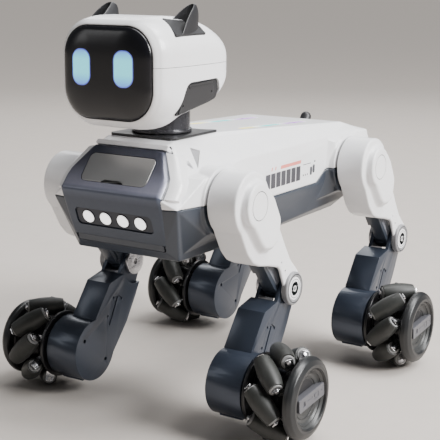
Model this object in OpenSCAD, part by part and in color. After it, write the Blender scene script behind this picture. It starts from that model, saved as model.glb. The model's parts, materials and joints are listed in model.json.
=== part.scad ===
// Quadruped robot dog that rolls on four mecanum wheels.
// Frame: origin on the ground under the centre of the whole robot, +X to its left, -Y forward, +Z up.
// Body and head points are given about the middle of the wheelbase, leg points about the hip axis.

/* [Stance] */
// Distance between the front and rear hip axes
wheelbase = 190; // [184:1:196]
// Height of the hip axes above the ground
hip_h = 162.75; // [160:0.25:166]
// Set-back of the knee axis behind the hip axis
knee_back = 56.25; // [55:0.25:57.5]
// Drop from the hip axis to the knee axis
knee_drop = 70.35; // [69:0.05:72]
// Set-back of the wheel axle behind the hip axis
axle_back = 3.25; // [2:0.25:5]

/* [Wheels] */
// Radius of the rolling envelope
wheel_r = 34; // [33.5:0.1:34.2]
// Number of rollers on each wheel
roller_count = 8; // [8:1:8]
// Length of a roller
roller_l = 29; // [27:0.5:29]
// Distance of the rollers' pins from the wheel axle
roller_ring_r = 26.6; // [26.5:0.1:27.2]
// Distance of the wheels' middle plane from the robot's centre plane
wheel_x = 105.2; // [105.2:0.1:105.4]

/* [Body] */
// Thickness of the moulded shells
wall = 2; // [1.6:0.2:2.4]
// Half-width across the hip bosses
boss_x = 58; // [57:0.5:58.5]
// Radius of the round hip bosses
boss_r = 23.5; // [22:0.5:24]
// Radius of the white drums around the hips
drum_r = 22.6; // [22:0.1:23]

/* [Head] */
// Half-width of the head
head_w = 44; // [42:1:46]
// Height of the seam between the two head shells
head_seam_h = 254.5; // [250:0.5:258]
// Set-back of the neck axis from the middle of the wheelbase
neck_y = -84; // [-86:1:-82]
// Radius of the neck column
neck_r = 20; // [18:1:21]

/* [Joints] */
// Running clearance between a pin and its bore
fit = 0.06; // [0.04:0.01:0.08]
// Radius of the knee bolts
knee_pin_r = 3; // [2.5:0.5:3.5]
// Radius of the hip output shafts
hip_shaft_r = 4; // [3:0.5:5]
// Radius of the wheel axles
axle_r = 2.5; // [2:0.25:3]

/* [Hidden] */
$fn = 64;
hull_fn = 32;
tiny = 0.01;
knee_cap_r = 12.2;
// Reach of the visor ahead of, and of the rear knees behind, the middle of the wheelbase
nose_reach = 152.6;
tail_reach = wheelbase / 2 + knee_back + knee_cap_r;
// The middle of the wheelbase, moved so that the origin is under the middle of the robot
mid_y = (nose_reach - tail_reach) / 2;
LEGS = ["fl", "fr", "rl", "rr"];
LEG_PARTS = [
    "thigh_housing", "thigh_cover", "thigh_frame", "knee_bolt", "shank",
    "wheel_motor", "wheel_hub", "hub_cap", "rollers"
];
BODY_PARTS = [
    "body_upper_shell", "body_lower_shell", "chest_panel", "chest_lamps", "neck_plate",
    "top_light_bars", "tail", "control_board", "battery_pack", "battery_door", "charge_jack",
    "speaker", "neck_servo", "hip_servos", "body_screws", "chest_flap", "power_switch"
];
HEAD_PARTS = [
    "neck_column", "head_lower_shell", "head_upper_shell", "visor", "eye_lamps", "ears",
    "cheek_panels"
];

white = "whitesmoke";
slate = [0.22, 0.25, 0.31];
charcoal = [0.2, 0.2, 0.21];
steel = "silver";
board_green = "seagreen";
lamp_white = "white";
lamp_cyan = [0.65, 0.9, 1];

// Widthwise layers of a leg, from the body outward
drum_x0 = 59.6;
drum_x1 = 79.6;
cover_x0 = 80;
cover_x1 = 82.4;
tongue_x = 88.4;
ear_t = 2.8;
shank_x0 = 57.4;
shank_x1 = 79.5;
inner_ear_x = 60.8;
frame_x0 = inner_ear_x + ear_t + 0.4;
frame_x1 = shank_x1 - ear_t - 0.4;
motor_x1 = 85.5;
motor_r = 23.3;
disc_x0 = 88;
disc_x1 = 90.5;
cap_x0 = 119.8;
dish_x = 128.5;
axle_drop = hip_h - wheel_r;

// ---------------------------------------------------------------- helpers

// Extrudes an outline drawn in the Y-Z plane from x0 to x1
module slab(x0, x1) {
    translate([x0, 0, 0]) rotate([90, 0, 90]) linear_extrude(x1 - x0) children();
}

// Extrudes an outline drawn in the X-Z plane from y0 to y1
module sheet(y0, y1) {
    translate([0, y1, 0]) rotate([90, 0, 0]) linear_extrude(y1 - y0) children();
}

// Round bar along X
module rod(x0, x1, r) {
    translate([x0, 0, 0]) rotate([0, 90, 0]) cylinder(r = r, h = x1 - x0);
}

// Rectangle with quarter-circle corners, centred on the origin
module rounded(w, h, r) {
    square([w - 2 * r, h], center = true);
    square([w, h - 2 * r], center = true);
    for (sx = [-1, 1])
        for (sz = [-1, 1])
            translate([sx * (w / 2 - r), sz * (h / 2 - r)]) circle(r);
}

// Convex solid through the given half-width points and their mirror images
module bulk(points) {
    both = concat(points, [for (p = points) [-p[0], p[1], p[2]]]);
    hull() polyhedron(points = both, faces = [[for (i = [0 : len(both) - 1]) i]]);
}

// The same shape mirrored to the other side of the robot
module both_sides() {
    children();
    mirror([1, 0, 0]) children();
}

// Places a part that is drawn about the middle of the wheelbase
module on_body() {
    translate([0, mid_y, 0]) children();
}

// Places a part of one leg that is drawn about its hip axis, with +X outward
function hip_y(leg) = (leg[0] == "f" ? -1 : 1) * wheelbase / 2 + mid_y;

module on_leg(leg) {
    translate([0, hip_y(leg), hip_h]) mirror([leg[1] == "l" ? 0 : 1, 0, 0]) children();
}

module at_knee() {
    translate([0, knee_back, -knee_drop]) children();
}

module at_axle() {
    translate([0, axle_back, -axle_drop]) children();
}

// ---------------------------------------------------------------- body

// Corner points of the trunk; inset moves each face inward
function trunk_points(t) = [
    [28 - t, -109.5 + t, 203 - t],
    [27 - t, -54, 203 - t],
    [45 - t, -122 + t, 181.5 - t],
    [52 - t, -140.4 + t, 162.8],
    [38 - t, -146.4 + t, 171],
    [26 - t, -122.5 + t, 199 - t],
    [36 - t, -134 + t, 133 + t],
    [43 - t, -125.2 + t, 124.6 + t],
    [40 - t, 20, 197 - t],
    [44.5 - t, 107 - t, 195 - t],
    [50.5 - t, -60, 186 - t],
    [51.5 - t, -60, 150],
    [51.5 - t, 60, 150],
    [51 - t, 60, 184 - t],
    [45 - t, -60, 124.6 + t],
    [45 - t, 110, 130 + t],
    [36 - t, -100, 122 + t],
    [36 - t, 110, 122 + t],
    [52 - t, 131 - t, 187.5 - t],
    [51 - t, 141 - t, 176],
    [44 - t, 134 - t, 134 + t]
];

// Fairing that swells out to each hip boss
function front_fairing(t) = [
    [44 - t, -122 + t, 181.5 - t],
    [56 - t, -113 + t, 181 - t],
    [56.5 - t, -118 + t, 163],
    [51.5 - t, -139.5 + t, 162.8],
    [43 - t, -124 + t, 128 + t],
    [56 - t, -112 + t, 142 + t],
    [56 - t, -76, 142 + t],
    [56 - t, -76, 181 - t],
    [44 - t, -60, 188 - t],
    [46 - t, -56, 134 + t]
];

function rear_fairing(t) = [
    [56 - t, 76, 142 + t],
    [56 - t, 76, 183 - t],
    [44 - t, 60, 190 - t],
    [46 - t, 58, 136 + t],
    [56.5 - t, 118 - t, 188 - t],
    [57 - t, 132 - t, 187 - t],
    [56 - t, 140 - t, 177],
    [47 - t, 133 - t, 138 + t],
    [56 - t, 114, 142 + t],
    [44 - t, 107, 194 - t]
];

module trunk(t) {
    bulk(trunk_points(t));
    bulk(front_fairing(t));
    bulk(rear_fairing(t));
    for (y = [-wheelbase / 2, wheelbase / 2])
        translate([0, y, hip_h]) rod(-boss_x + t, boss_x - t, boss_r - t);
}

// Side outline of the region below the seam between the two shells
module below_seam(gap) {
    polygon([
        [-160, 110], [-160, 163 - gap], [-78, 163 - gap], [-52, 152.5 - gap], [54, 152.5 - gap],
        [70, 162 - gap], [160, 162 - gap], [160, 110]
    ]);
}

// Hole for a screw that enters one of the shells from below
screw_spots = [[-30, -92], [30, -92], [-30, 100], [30, 100]];

// Sloping plane of the chest: distance below the top edge, measured along the slope
chest_top = [-122.2, 198.6];
chest_bend = [-145.6, 171.6];
slope = atan2(chest_top[1] - chest_bend[1], chest_top[0] - chest_bend[0]);

// Draws on the sloping chest face: local X across, local Y up the slope, local Z out of the face
module on_slope() {
    translate([0, chest_bend[0], chest_bend[1]]) rotate([slope, 0, 0]) children();
}

// Front face of the chest below the bend, leaning back towards the bottom
lean = atan2(146.2 - 134.4, 170 - 134);

module on_front() {
    translate([0, -145.4, 168]) rotate([90 + lean, 0, 0]) children();
}

// Outline of the flap with a finger notch in its lower edge; gap moves the edge inward
function flap_side(gap) = [
    [7, 7.4 + gap], [8.6, 5.6 + gap], [22.5, 5.6 + gap], [25.4 - gap, 6.7 + gap],
    [27.2 - gap, 9.2 + gap], [27.7 - gap, 12], [27.7 - gap, 22], [27 - gap, 25.2 - gap],
    [25.4 - gap, 27.2 - gap], [23.2, 28 - gap]
];

module flap_outline(gap) {
    side = flap_side(gap);
    last = len(side) - 1;
    polygon(concat(side, [for (i = [last : -1 : 0]) [-side[i][0], side[i][1]]]));
}

module body_upper_shell() {
    color(white) on_body() difference() {
        trunk(0);
        trunk(wall);
        slab(-70, 70) below_seam(0);
        panel_seat();
        translate([0, neck_y, 150]) cylinder(r = neck_r + 1, h = 60);
        vents();
        shaft_holes();
        tail_nub(0.2);
        for (s = [-1, 1])
            at_light_bar(s) cube([5, 100, 12], center = true);
        tail_stem(4.2, 40);
    }
}

// Holes that the hip output shafts pass through
module shaft_holes() {
    for (y = [-wheelbase / 2, wheelbase / 2])
        translate([0, y, hip_h]) rod(-boss_x - 1, boss_x + 1, hip_shaft_r + 0.4);
}

// Triangular air vents behind the front corners
module vents() {
    both_sides() slab(38, 60) polygon([[-118, 197], [-108, 197.5], [-108, 184]]);
}

module body_lower_shell() {
    color(slate) on_body() difference() {
        intersection() {
            trunk(0);
            slab(-70, 70) below_seam(0.25);
        }
        trunk(wall);
        panel_seat();
        translate([-24, -30, 118]) cube([48, 90, 10]);
        translate([-5, 75, 118]) cube([10, 9, 10]);
        translate([0, 141, jack_z]) rotate([90, 0, 0]) cylinder(r = 5, h = 20, center = true);
        for (spot = screw_spots)
            translate([spot[0], spot[1], 118]) cylinder(r = 1.6, h = 10);
        shaft_holes();
        grille();
    }
}

// Sound slots of the speaker, cut in the belly
module grille() {
    for (i = [-2 : 2])
        translate([i * 5 - 1, -80, 118]) cube([2, 18, 8]);
}

// Opening that the chest panel fills, cut out of both shells
module panel_seat() {
    sheet(-160, -108) polygon(panel_front(0.3));
}

function panel_front(grow) = [
    [-28.5 - grow, 199.5 + grow], [28.5 + grow, 199.5 + grow], [38.5 + grow, 186],
    [41 + grow, 172], [41 + grow, 166], [37 + grow, 132 - grow], [-37 - grow, 132 - grow],
    [-41 - grow, 166], [-41 - grow, 172], [-38.5 - grow, 186]
];

// Thickness profile of the chest panel seen from the side
module panel_side() {
    polygon([
        [-123.5, 200.5], [-147, 172.5], [-147, 168.5], [-133.6, 131],
        [-129.6, 130.5], [-142.6, 169], [-142.6, 171.5], [-118.5, 200.5]
    ]);
}

module chest_panel() {
    color(slate) on_body() difference() {
        union() {
            intersection() {
                sheet(-160, -108) polygon(panel_front(0));
                slab(-45, 45) panel_side();
            }
            on_slope() translate([0, 12, -14]) linear_extrude(12) rounded(44, 16, 3);
        }
        on_slope() translate([0, 0, -0.8]) linear_extrude(20) flap_outline(-0.3);
        on_slope() translate([0, 12, -12.4]) linear_extrude(30) rounded(40, 12, 2);
        on_slope() at_flap_hinge() rod(-27.4, 27.4, 1.9);
        on_slope() at_flap_hinge() rod(-flap_pin_x - 0.4, flap_pin_x + 0.4, flap_pin_r + fit);
        on_front() translate([0, lamp_row, -2.5]) linear_extrude(10) rounded(64, 12.5, 3);
    }
}

// Hinge pins of the chest flap: radius, and reach to each side
flap_pin_r = 0.8;
flap_pin_x = 29.4;

module at_flap_hinge() {
    translate([0, 27.2, 0.6]) children();
}

// Chest lamps: spacing and radius of the lenses, and their distance below the bend
lamp_pitch = 14.66;
lamp_r = 4.7;
lamp_row = -19.2;

// Lamp bar of the chest: a carrier plate with four round lenses
module chest_lamps() {
    color(lamp_white) on_body() on_front() {
        translate([0, lamp_row, -2.4]) linear_extrude(1.2) rounded(63.4, 11.9, 2.8);
        for (i = [-1.5, -0.5, 0.5, 1.5])
            translate([i * lamp_pitch, lamp_row, -1.3]) cylinder(r = lamp_r, h = 1.5);
    }
}

// Hinged cover of the charging and switch compartment
module chest_flap() {
    color("darkgray") on_body() {
        on_slope() translate([0, 0, -0.4]) linear_extrude(2) flap_outline(0.1);
        on_slope() at_flap_hinge() rod(-flap_pin_x, flap_pin_x, flap_pin_r);
    }
}

module neck_plate() {
    color(charcoal) on_body() difference() {
        translate([0, 0, 203.1]) linear_extrude(1.8)
            polygon([
                [-25, -109.5], [25, -109.5], [28, -106], [27, -54], [16, -58], [-16, -58],
                [-27, -54], [-28, -106]
            ]);
        translate([0, neck_y, 195]) cylinder(r = neck_r + 0.4, h = 20);
    }
}

// Distance of the light bars from the middle, and the angle at which the back falls to the tail
light_bar_x = 22.6;
back_fall = 2.845;

// Middle of a light bar on the surface of the back
module at_light_bar(s) {
    translate([s * light_bar_x, 35, 198.58]) rotate([-back_fall, 0, 0]) children();
}

// Two long diffusers let flush into the back
module top_light_bars() {
    color(lamp_cyan) on_body() for (s = [-1, 1])
        at_light_bar(s) translate([0, 0, -1.35]) cube([4.6, 99.6, 2.6], center = true);
}

module tail() {
    color(charcoal) on_body() {
        tail_stem(4, 14);
        tail_nub(0);
    }
}

// Round stem that holds the tail in the shell
module tail_stem(r, h) {
    translate([0, 127, 170]) rotate([20, 0, 0]) cylinder(r = r, h = h);
}

module tail_nub(grow) {
    hull() {
        translate([0, 124, 184]) sphere(5 + grow, $fn = hull_fn);
        translate([0, 130, 193.5]) sphere(4.6 + grow, $fn = hull_fn);
    }
}

module control_board() {
    color(board_green) on_body() {
        translate([-27, -40, 176]) cube([54, 90, 1.6]);
        translate([-12, -20, 177.6]) cube([24, 24, 2]);
        translate([-20, 20, 177.6]) cube([12, 18, 6]);
        translate([6, 22, 177.6]) cube([16, 14, 4]);
    }
}

module battery_pack() {
    color("steelblue") on_body() for (s = [-1, 1])
        translate([s * 9.6, -27, 136]) rotate([-90, 0, 0]) cylinder(r = 9.3, h = 66);
}

module battery_door() {
    color(slate) on_body() {
        translate([-23.7, -29.7, 121.5]) cube([47.4, 89.4, 2]);
        for (y = [-20, 46])
            translate([-20, y, 123.4]) cube([40, 3, 2.4]);
    }
}

// Height of the charging jack
jack_z = 148;

// Socket for the charger at the tail end
module charge_jack() {
    color(charcoal) on_body() translate([0, 141.5, jack_z]) rotate([90, 0, 0]) difference() {
        cylinder(r = 4.9, h = 13);
        translate([0, 0, -1]) cylinder(r = 2.75, h = 10.6);
    }
}

module speaker() {
    color(charcoal) on_body() translate([0, -71, 124]) {
        cylinder(r = 14, h = 3);
        translate([0, 0, 3]) cylinder(r = 9, h = 4);
    }
}

module neck_servo() {
    color(charcoal) on_body() translate([0, neck_y, 0]) {
        translate([-10, -16, 152]) cube([20, 40, 32]);
        translate([0, 0, 184]) cylinder(r = 6, h = 3.7);
    }
}

// Hip gear motors: a block behind each boss and the output shaft that carries the thigh
module hip_servos() {
    color(charcoal) on_body() both_sides() for (y = [-wheelbase / 2, wheelbase / 2])
        translate([0, y, hip_h]) {
            translate([26, -10, -14]) cube([28, 20, 28]);
            rod(54, drum_x1 - 6, hip_shaft_r);
        }
}

module body_screws() {
    color(steel) on_body() for (spot = screw_spots)
        translate([spot[0], spot[1], 120]) {
            difference() {
                cylinder(r = 2.8, h = 2);
                translate([0, 0, -0.5]) cylinder(r = 1.2, h = 1.6, $fn = 6);
            }
            translate([0, 0, 1.9]) cylinder(r = 1.5, h = 9);
        }
}

module power_switch() {
    color("crimson") on_body() translate([-4.5, 75.5, 119.8]) {
        cube([9, 4, 6]);
        translate([-1, -1.5, 4.4]) cube([11, 7, 1.4]);
    }
}

// ---------------------------------------------------------------- head

// Side outline of the head; t moves it inward
module head_side(t) {
    polygon([
        [-141.6 + t, 218], [-144 + t, 226], [-144.4 + t, 250], [-144 + t, 274], [-140, 284 - t],
        [-131, 286 - t], [-112, 286.4 - t], [-98, 285.6 - t], [-88, 283.6 - t], [-75, 279.2 - t],
        [-66.5 - t, 275 - t], [-61 - t, 268], [-58.7 - t, 258], [-58.7 - t, 249], [-61.5 - t, 242],
        [-67 - t, 236.5 + t], [-80, 229.8 + t], [-98, 225.4 + t], [-115, 221.4 + t],
        [-119.5, 217.6 + t], [-123, 214.4 + t], [-128, 213.1 + t], [-136, 213.4 + t]
    ]);
}

// Front outline of the head
module head_front(t) {
    translate([0, 249.7]) rounded(2 * (head_w - t), 73.4 - 2 * t, 24 - t);
}

// Plan outline of the head: full width at the front, drawn in at the back
module head_plan(t) {
    polygon([
        [-35.5 + t, -146], [35.5 - t, -146], [head_w - 3 - t, -139.6], [head_w - 1 - t, -131],
        [head_w - t, -118], [head_w - 0.5 - t, -85], [42.6 - t, -71], [39.6 - t, -62],
        [33 - t, -56], [-33 + t, -56], [-39.6 + t, -62], [-42.6 + t, -71],
        [-head_w + 0.5 + t, -85], [-head_w + t, -118], [-head_w + 1 + t, -131],
        [-head_w + 3 + t, -139.6]
    ]);
}

module head_form(t) {
    intersection() {
        slab(-50, 50) head_side(t);
        sheet(-160, -50) head_front(t);
        translate([0, 0, 200]) linear_extrude(100) head_plan(t);
    }
}

// Height of the visor's middle
visor_z = 249.9;

module visor_outline(grow) {
    translate([0, visor_z]) rounded(71.6 + 2 * grow, 61 + 2 * grow, 20 + grow);
}

module head_shell() {
    difference() {
        head_form(0);
        head_form(wall);
        sheet(-160, -130) visor_outline(0.2);
        translate([0, neck_y, 205]) cylinder(r = neck_r + 0.02, h = 30);
    }
}

module head_half(z0, z1) {
    translate([-60, -170, z0]) cube([120, 130, z1 - z0]);
}

module cheek_outline(grow) {
    polygon([
        [-115 - grow, 243 + grow], [-79 + grow, 244 + grow], [-76.5 + grow, 241],
        [-77.5 + grow, 232 - grow], [-84, 229 - grow], [-127 - grow, 222.5 - grow]
    ]);
}

module head_lower_shell() {
    color(white) on_body() difference() {
        intersection() {
            head_shell();
            head_half(200, head_seam_h);
        }
        both_sides() slab(head_w - 4.2, 60) cheek_outline(0.25);
    }
}

module head_upper_shell() {
    color(white) on_body() difference() {
        intersection() {
            head_shell();
            head_half(head_seam_h + 0.2, 300);
        }
        both_sides() ear_seat(-1.2, 9, 0.25);
    }
}

// Seat of an ear: a four-sided plate lying on the rounded corner of the head
module ear_seat(z0, z1, grow) {
    translate([34.4, 0, 279.2]) rotate([0, 39, 0]) translate([0, 0, z0]) linear_extrude(z1 - z0)
        polygon([
            [-8.5 - grow, -123 - grow], [8.5 + grow, -126 - grow], [8.5 + grow, -91 + grow],
            [-2 - grow, -92 + grow]
        ]);
}

// Ball that shapes the front of the visor
module visor_ball(r) {
    translate([0, -50, visor_z]) sphere(r, $fn = 128);
}

// Dark bulged front window
module visor() {
    color([0.05, 0.05, 0.06]) on_body() difference() {
        intersection() {
            sheet(-150.6, -139) visor_outline(0);
            visor_ball(100.6);
        }
        translate([0, 2, 0]) visor_ball(95);
    }
}

// Middle of the left eye lamp
eye_x = 17.4;
eye_z = 253.7;

module eye_lamps() {
    color(lamp_cyan) on_body() both_sides() intersection() {
        sheet(-155, -141) translate([eye_x, eye_z]) rounded(15.6, 23.4, 6.8);
        difference() {
            visor_ball(100.95);
            visor_ball(100.65);
        }
    }
}

// Pointed ear: a swept shell, hollow at the front, on its base plate
module ears() {
    color(charcoal) on_body() both_sides() {
        ear_seat(-1, 1, 0);
        difference() {
            ear_fin(0);
            ear_fin(1.6);
            head_form(-0.05);
        }
    }
}

// t makes the fin smaller and slides it forward, which hollows the ear
module ear_fin(t) {
    hull() {
        translate([34, -100 - 2 * t, 276.5]) cylinder(r = 6.6 - t, h = 1, $fn = hull_fn);
        translate([32.5, -116 - 3 * t, 277.5]) cylinder(r = 4 - t, h = 1, $fn = hull_fn);
        translate([36, -96.6 - 3 * t, 292.6 - t]) sphere(2 - t / 1.6 * 0.9, $fn = hull_fn);
    }
}

module cheek_panels() {
    color(charcoal) on_body() both_sides() difference() {
        slab(head_w - 3.8, head_w - 1.4) cheek_outline(0);
        for (spot = [[-82, 235], [-119, 227]])
            translate([head_w - 2.6, spot[0], spot[1]]) rod(0, 4, 0.9);
    }
}

// Turning neck: a column that enters the head, with a collar above the neck plate
module neck_column() {
    color(charcoal) on_body() translate([0, neck_y, 0]) {
        translate([0, 0, 188]) cylinder(r = neck_r, h = 46);
        translate([0, 0, 205.3]) cylinder(r = neck_r + 1.2, h = 2.2);
    }
}

// ---------------------------------------------------------------- legs

// White drum around the hip with the lobe that runs down to the knee
module drum_outline(t) {
    circle(drum_r - t);
    polygon([
        [-15.4 + t, -16.5], [-6 + t, -33], [1.5 + t, -40.5 + t], [8, -44 + t], [24, -47.5 + t],
        [47, -54 + t], [53.5 - t, -49.5], [44 - t, -33.5], [32 - t, -13], [19.5 - t, 11.2], [0, 0]
    ]);
}

module thigh_housing(leg) {
    color(white) on_leg(leg) difference() {
        slab(drum_x0, drum_x1) drum_outline(0);
        slab(drum_x0 + wall, drum_x1 + 1) drum_outline(wall);
        rod(drum_x0 - 1, drum_x1, hip_shaft_r + fit);
        slab(frame_x0 - 0.3, frame_x1 + 0.3) frame_arm(0.3);
    }
}

// Outline of the outer cover: drum, lobe and the arm that reaches the knee
module cover_outline(t) {
    circle(drum_r - 1.2 - t);
    at_knee_2d() circle(knee_cap_r - t);
    polygon([
        [-14.6 + t, -15], [-4 + t, -33], [0.5 + t, -39.5 + t], [7, -42.5 + t], [20, -43.5 + t],
        [31, -46.5 + t], [39 + t, -53.5 + t], [44.6 + t, -66], [58, -72], [68.2 - t, -67],
        [65 - t, -60], [53.8 - t, -48.5], [43.5 - t, -33], [32 - t, -13.5], [19 - t, 10], [0, 0]
    ]);
}

module at_knee_2d() {
    translate([knee_back, -knee_drop]) children();
}

// Raised tongue that runs down from the hip cap
module tongue_outline(t) {
    circle(15.5 - t);
    polygon([
        [-15 + t, -3], [3 + t, -27], [8, -31.5 + t], [20, -32.5 + t], [26 - t, -28],
        [26 - t, -14], [15 - t, 4], [0, 0]
    ]);
}

module thigh_cover(leg) {
    color(white) on_leg(leg) {
        slab(cover_x0, cover_x1) difference() {
            cover_outline(0);
            at_knee_2d() circle(knee_pin_r + 0.5);
        }
        slab(cover_x1 - tiny, cover_x1 + 3) tongue_outline(-2);
        slab(cover_x1 + 2.9, tongue_x - 0.6) tongue_outline(0);
        rod(tongue_x - 0.7, tongue_x, 9.8);
        at_knee() difference() {
            rod(cover_x1 - tiny, 84.4, 10.6);
            rod(cover_x1 - 1, 85, 8.9);
        }
        at_knee() rod(cover_x1 - tiny, 83.9, 8.2);
    }
}

// Arm of the inner frame, from inside the drum down to the knee
module frame_arm(grow) {
    polygon([
        [9 - grow, -22], [26 - grow, -50], [41 - grow, -68.5 - grow], [47, -73.5 - grow],
        [56, -75 - grow], [65.5 + grow, -68], [62 + grow, -59.5], [51.5 + grow, -46.5],
        [33 + grow, -18.5]
    ]);
}

// Dark inner frame with the knee motor block; it carries the knee bolt
module thigh_frame(leg) {
    color(slate) on_leg(leg) difference() {
        union() {
            slab(frame_x0, frame_x1) {
                at_knee_2d() circle(9.6);
                frame_arm(0);
            }
            slab(frame_x0, frame_x1) translate([8, -10]) rotate(-51) square([30, 18], center = true);
            slab(frame_x0 + 5, frame_x1 + 2.4) circle(hip_shaft_r + 5);
        }
        at_knee() rod(frame_x0 - 1, frame_x1 + 1, knee_pin_r + 0.01);
        rod(frame_x0 - 5, drum_x1 - 5, hip_shaft_r + fit);
        slab(frame_x0 - 1, frame_x0 + 2) translate([37, -62.5]) rotate(-55) rounded(17, 5, 2.4);
    }
}

// Knee bolt: a flat head with a hexagon socket and a plain shank
module knee_bolt(leg) {
    color(steel) on_leg(leg) at_knee() difference() {
        union() {
            rod(inner_ear_x - 2.8, inner_ear_x - 0.2, 10.4);
            rod(inner_ear_x - 0.3, cover_x0 + 2, knee_pin_r);
        }
        translate([inner_ear_x - 3.4, 0, 0]) rotate([0, 90, 0]) cylinder(r = 2.4, h = 2.6, $fn = 6);
    }
}

// Side outline of the shank, from the knee ears to the wheel motor
module shank_outline() {
    polygon([
        [4.5, -104.7], [22.5, -80.9], [39.5, -77.2], [47, -75], [66, -74], [62, -84],
        [55, -97], [43, -116], [24, -138], [0, -132]
    ]);
}

module ear_outline() {
    at_knee_2d() circle(10.2);
    polygon([
        [39.5, -77.2], [47.6, -65.5], [56, -60.5], [66, -68], [65.6, -76], [60, -88], [44, -90]
    ]);
}

module shank(leg) {
    color(slate) on_leg(leg) difference() {
        union() {
            slab(shank_x0, shank_x1) difference() {
                shank_outline();
                at_knee_2d() circle(17.4);
            }
            slab(inner_ear_x, inner_ear_x + ear_t) ear_outline();
            slab(shank_x1 - ear_t, shank_x1) ear_outline();
            at_axle() rod(shank_x0, motor_x1, motor_r);
            at_axle() for (a = [245, 285])
                rotate([a, 0, 0]) translate([0, motor_r - 1, 0]) rod(62, 80, 2.2);
        }
        at_knee() rod(shank_x0 - 1, shank_x1 + 1, knee_pin_r + fit);
        at_axle() rod(shank_x0 + 3.2, motor_x1 - 2.5, motor_r - 2.2);
        at_axle() rod(shank_x0 + 3, motor_x1 + 1, axle_r + 1.2);
        at_axle() for (a = [140, 320])
            rotate([a, 0, 0]) translate([0, 16, 0]) rod(shank_x0 - 1, shank_x0 + 4, 1.5);
        slab(shank_x1 - 0.8, shank_x1 + 1) shank_marks();
        slab(shank_x0 - 1, shank_x0 + 0.8) shank_marks();
    }
}

// Shallow hooked groove and two screw recesses on each side of the shank
module shank_marks() {
    polygon([[31, -92], [33, -92], [21.5, -114], [19.8, -113.4]]);
    polygon([[31, -92], [33, -92], [37.5, -95.4], [36.6, -97]]);
    for (spot = [[26.5, -93], [19, -106]])
        translate(spot) circle(1.1);
}

module wheel_motor(leg) {
    color(steel) on_leg(leg) at_axle() difference() {
        union() {
            rod(shank_x0 + 3.4, motor_x1 - 3, motor_r - 2.5);
            rod(motor_x1 - 3.1, motor_x1 - 0.4, axle_r + 1);
        }
        rod(shank_x0 + 8, motor_x1 + 1, axle_r + fit);
    }
}

// ---------------------------------------------------------------- wheels

// Places the n-th roller: its axis along local Z, its outward direction along local X
module at_roller(leg, n) {
    rotate([n * 360 / roller_count, 0, 0]) translate([wheel_x, 0, roller_ring_r])
        rotate([0, 0, lean_sign(leg) * 45]) rotate([0, 90, 0]) children();
}

// Front and rear rollers lean opposite ways, so that diagonal wheels match
function lean_sign(leg) = leg[0] == "f" ? -1 : 1;

// Radius of a roller at distance s from its middle, so that the wheel rolls as a true circle
function roller_r(s) = wheel_r - sqrt(roller_ring_r * roller_ring_r + s * s / 2);

// Radius of the roller pins, and steps in a roller's barrel outline
roller_pin_r = 1.5;
roller_steps = 8;

module rollers(leg) {
    color([0.16, 0.16, 0.15]) on_leg(leg) at_axle() for (n = [0 : roller_count - 1])
        at_roller(leg, n) rotate_extrude($fn = hull_fn) polygon(concat(
            [[roller_pin_r + 0.05, -roller_l / 2], [roller_pin_r + 0.05, roller_l / 2]],
            [for (i = [roller_steps : -1 : 0])
                let (s = roller_l * (i / roller_steps - 0.5))
                [roller_r(s), s]]
        ));
}

// Black hub: two discs, a core, bent tabs that hold the roller pins, and the axle
module wheel_hub(leg) {
    color("dimgray") on_leg(leg) at_axle() {
        rod(shank_x0 + 10, disc_x0 + 1, axle_r);
        rod(disc_x0, disc_x1, 25.5);
        rod(disc_x1 - tiny, cap_x0 - 1.9, 17);
        rod(cap_x0 - 2, cap_x0 - 0.1, 22.4);
        intersection() {
            rod(disc_x0, cap_x0 - 0.1, wheel_r - 1);
            for (n = [0 : roller_count - 1])
                at_roller(leg, n) roller_holder(lean_sign(leg));
        }
    }
}

// Pin of one roller and the two tabs that tie it to the discs
module roller_holder(lean) {
    cylinder(r = roller_pin_r, h = roller_l + 3.2, center = true, $fn = hull_fn);
    for (end = [-1, 1])
        translate([2.5, -end * lean * 1.5, end * (roller_l / 2 + 1)]) cube([10, 8, 1.2], center = true);
}

// Outer hub cap: bulged rim, concave dish and a grip bar
module hub_cap(leg) {
    color([0.28, 0.28, 0.29]) on_leg(leg) at_axle() {
        rotate([0, 90, 0]) rotate_extrude() polygon([
            [0, cap_x0 + 0.1], [26.5, cap_x0 + 0.1], [28.3, cap_x0 + 1.6], [29, cap_x0 + 4],
            [28.6, cap_x0 + 6], [27, cap_x0 + 7.9], [24.6, dish_x - 0.5], [22.4, dish_x],
            [21.3, dish_x - 0.2], [19, cap_x0 + 5.4], [15, cap_x0 + 3.6], [10, cap_x0 + 2.8],
            [0, cap_x0 + 2.6]
        ]);
        rotate([4, 0, 0]) slab(cap_x0 + 2, dish_x - 1) rounded(37, 10, 2);
    }
}

// ---------------------------------------------------------------- assembly

body_upper_shell();
body_lower_shell();
chest_panel();
chest_lamps();
neck_plate();
top_light_bars();
tail();
control_board();
battery_pack();
battery_door();
charge_jack();
speaker();
neck_servo();
hip_servos();
body_screws();
chest_flap();
power_switch();
neck_column();
head_lower_shell();
head_upper_shell();
visor();
eye_lamps();
ears();
cheek_panels();
for (leg = LEGS) {
    thigh_housing(leg);
    thigh_cover(leg);
    thigh_frame(leg);
    knee_bolt(leg);
    shank(leg);
    wheel_motor(leg);
    wheel_hub(leg);
    hub_cap(leg);
    rollers(leg);
}
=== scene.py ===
import json
import math

import bmesh
import bpy
from mathutils import Matrix, Vector

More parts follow.
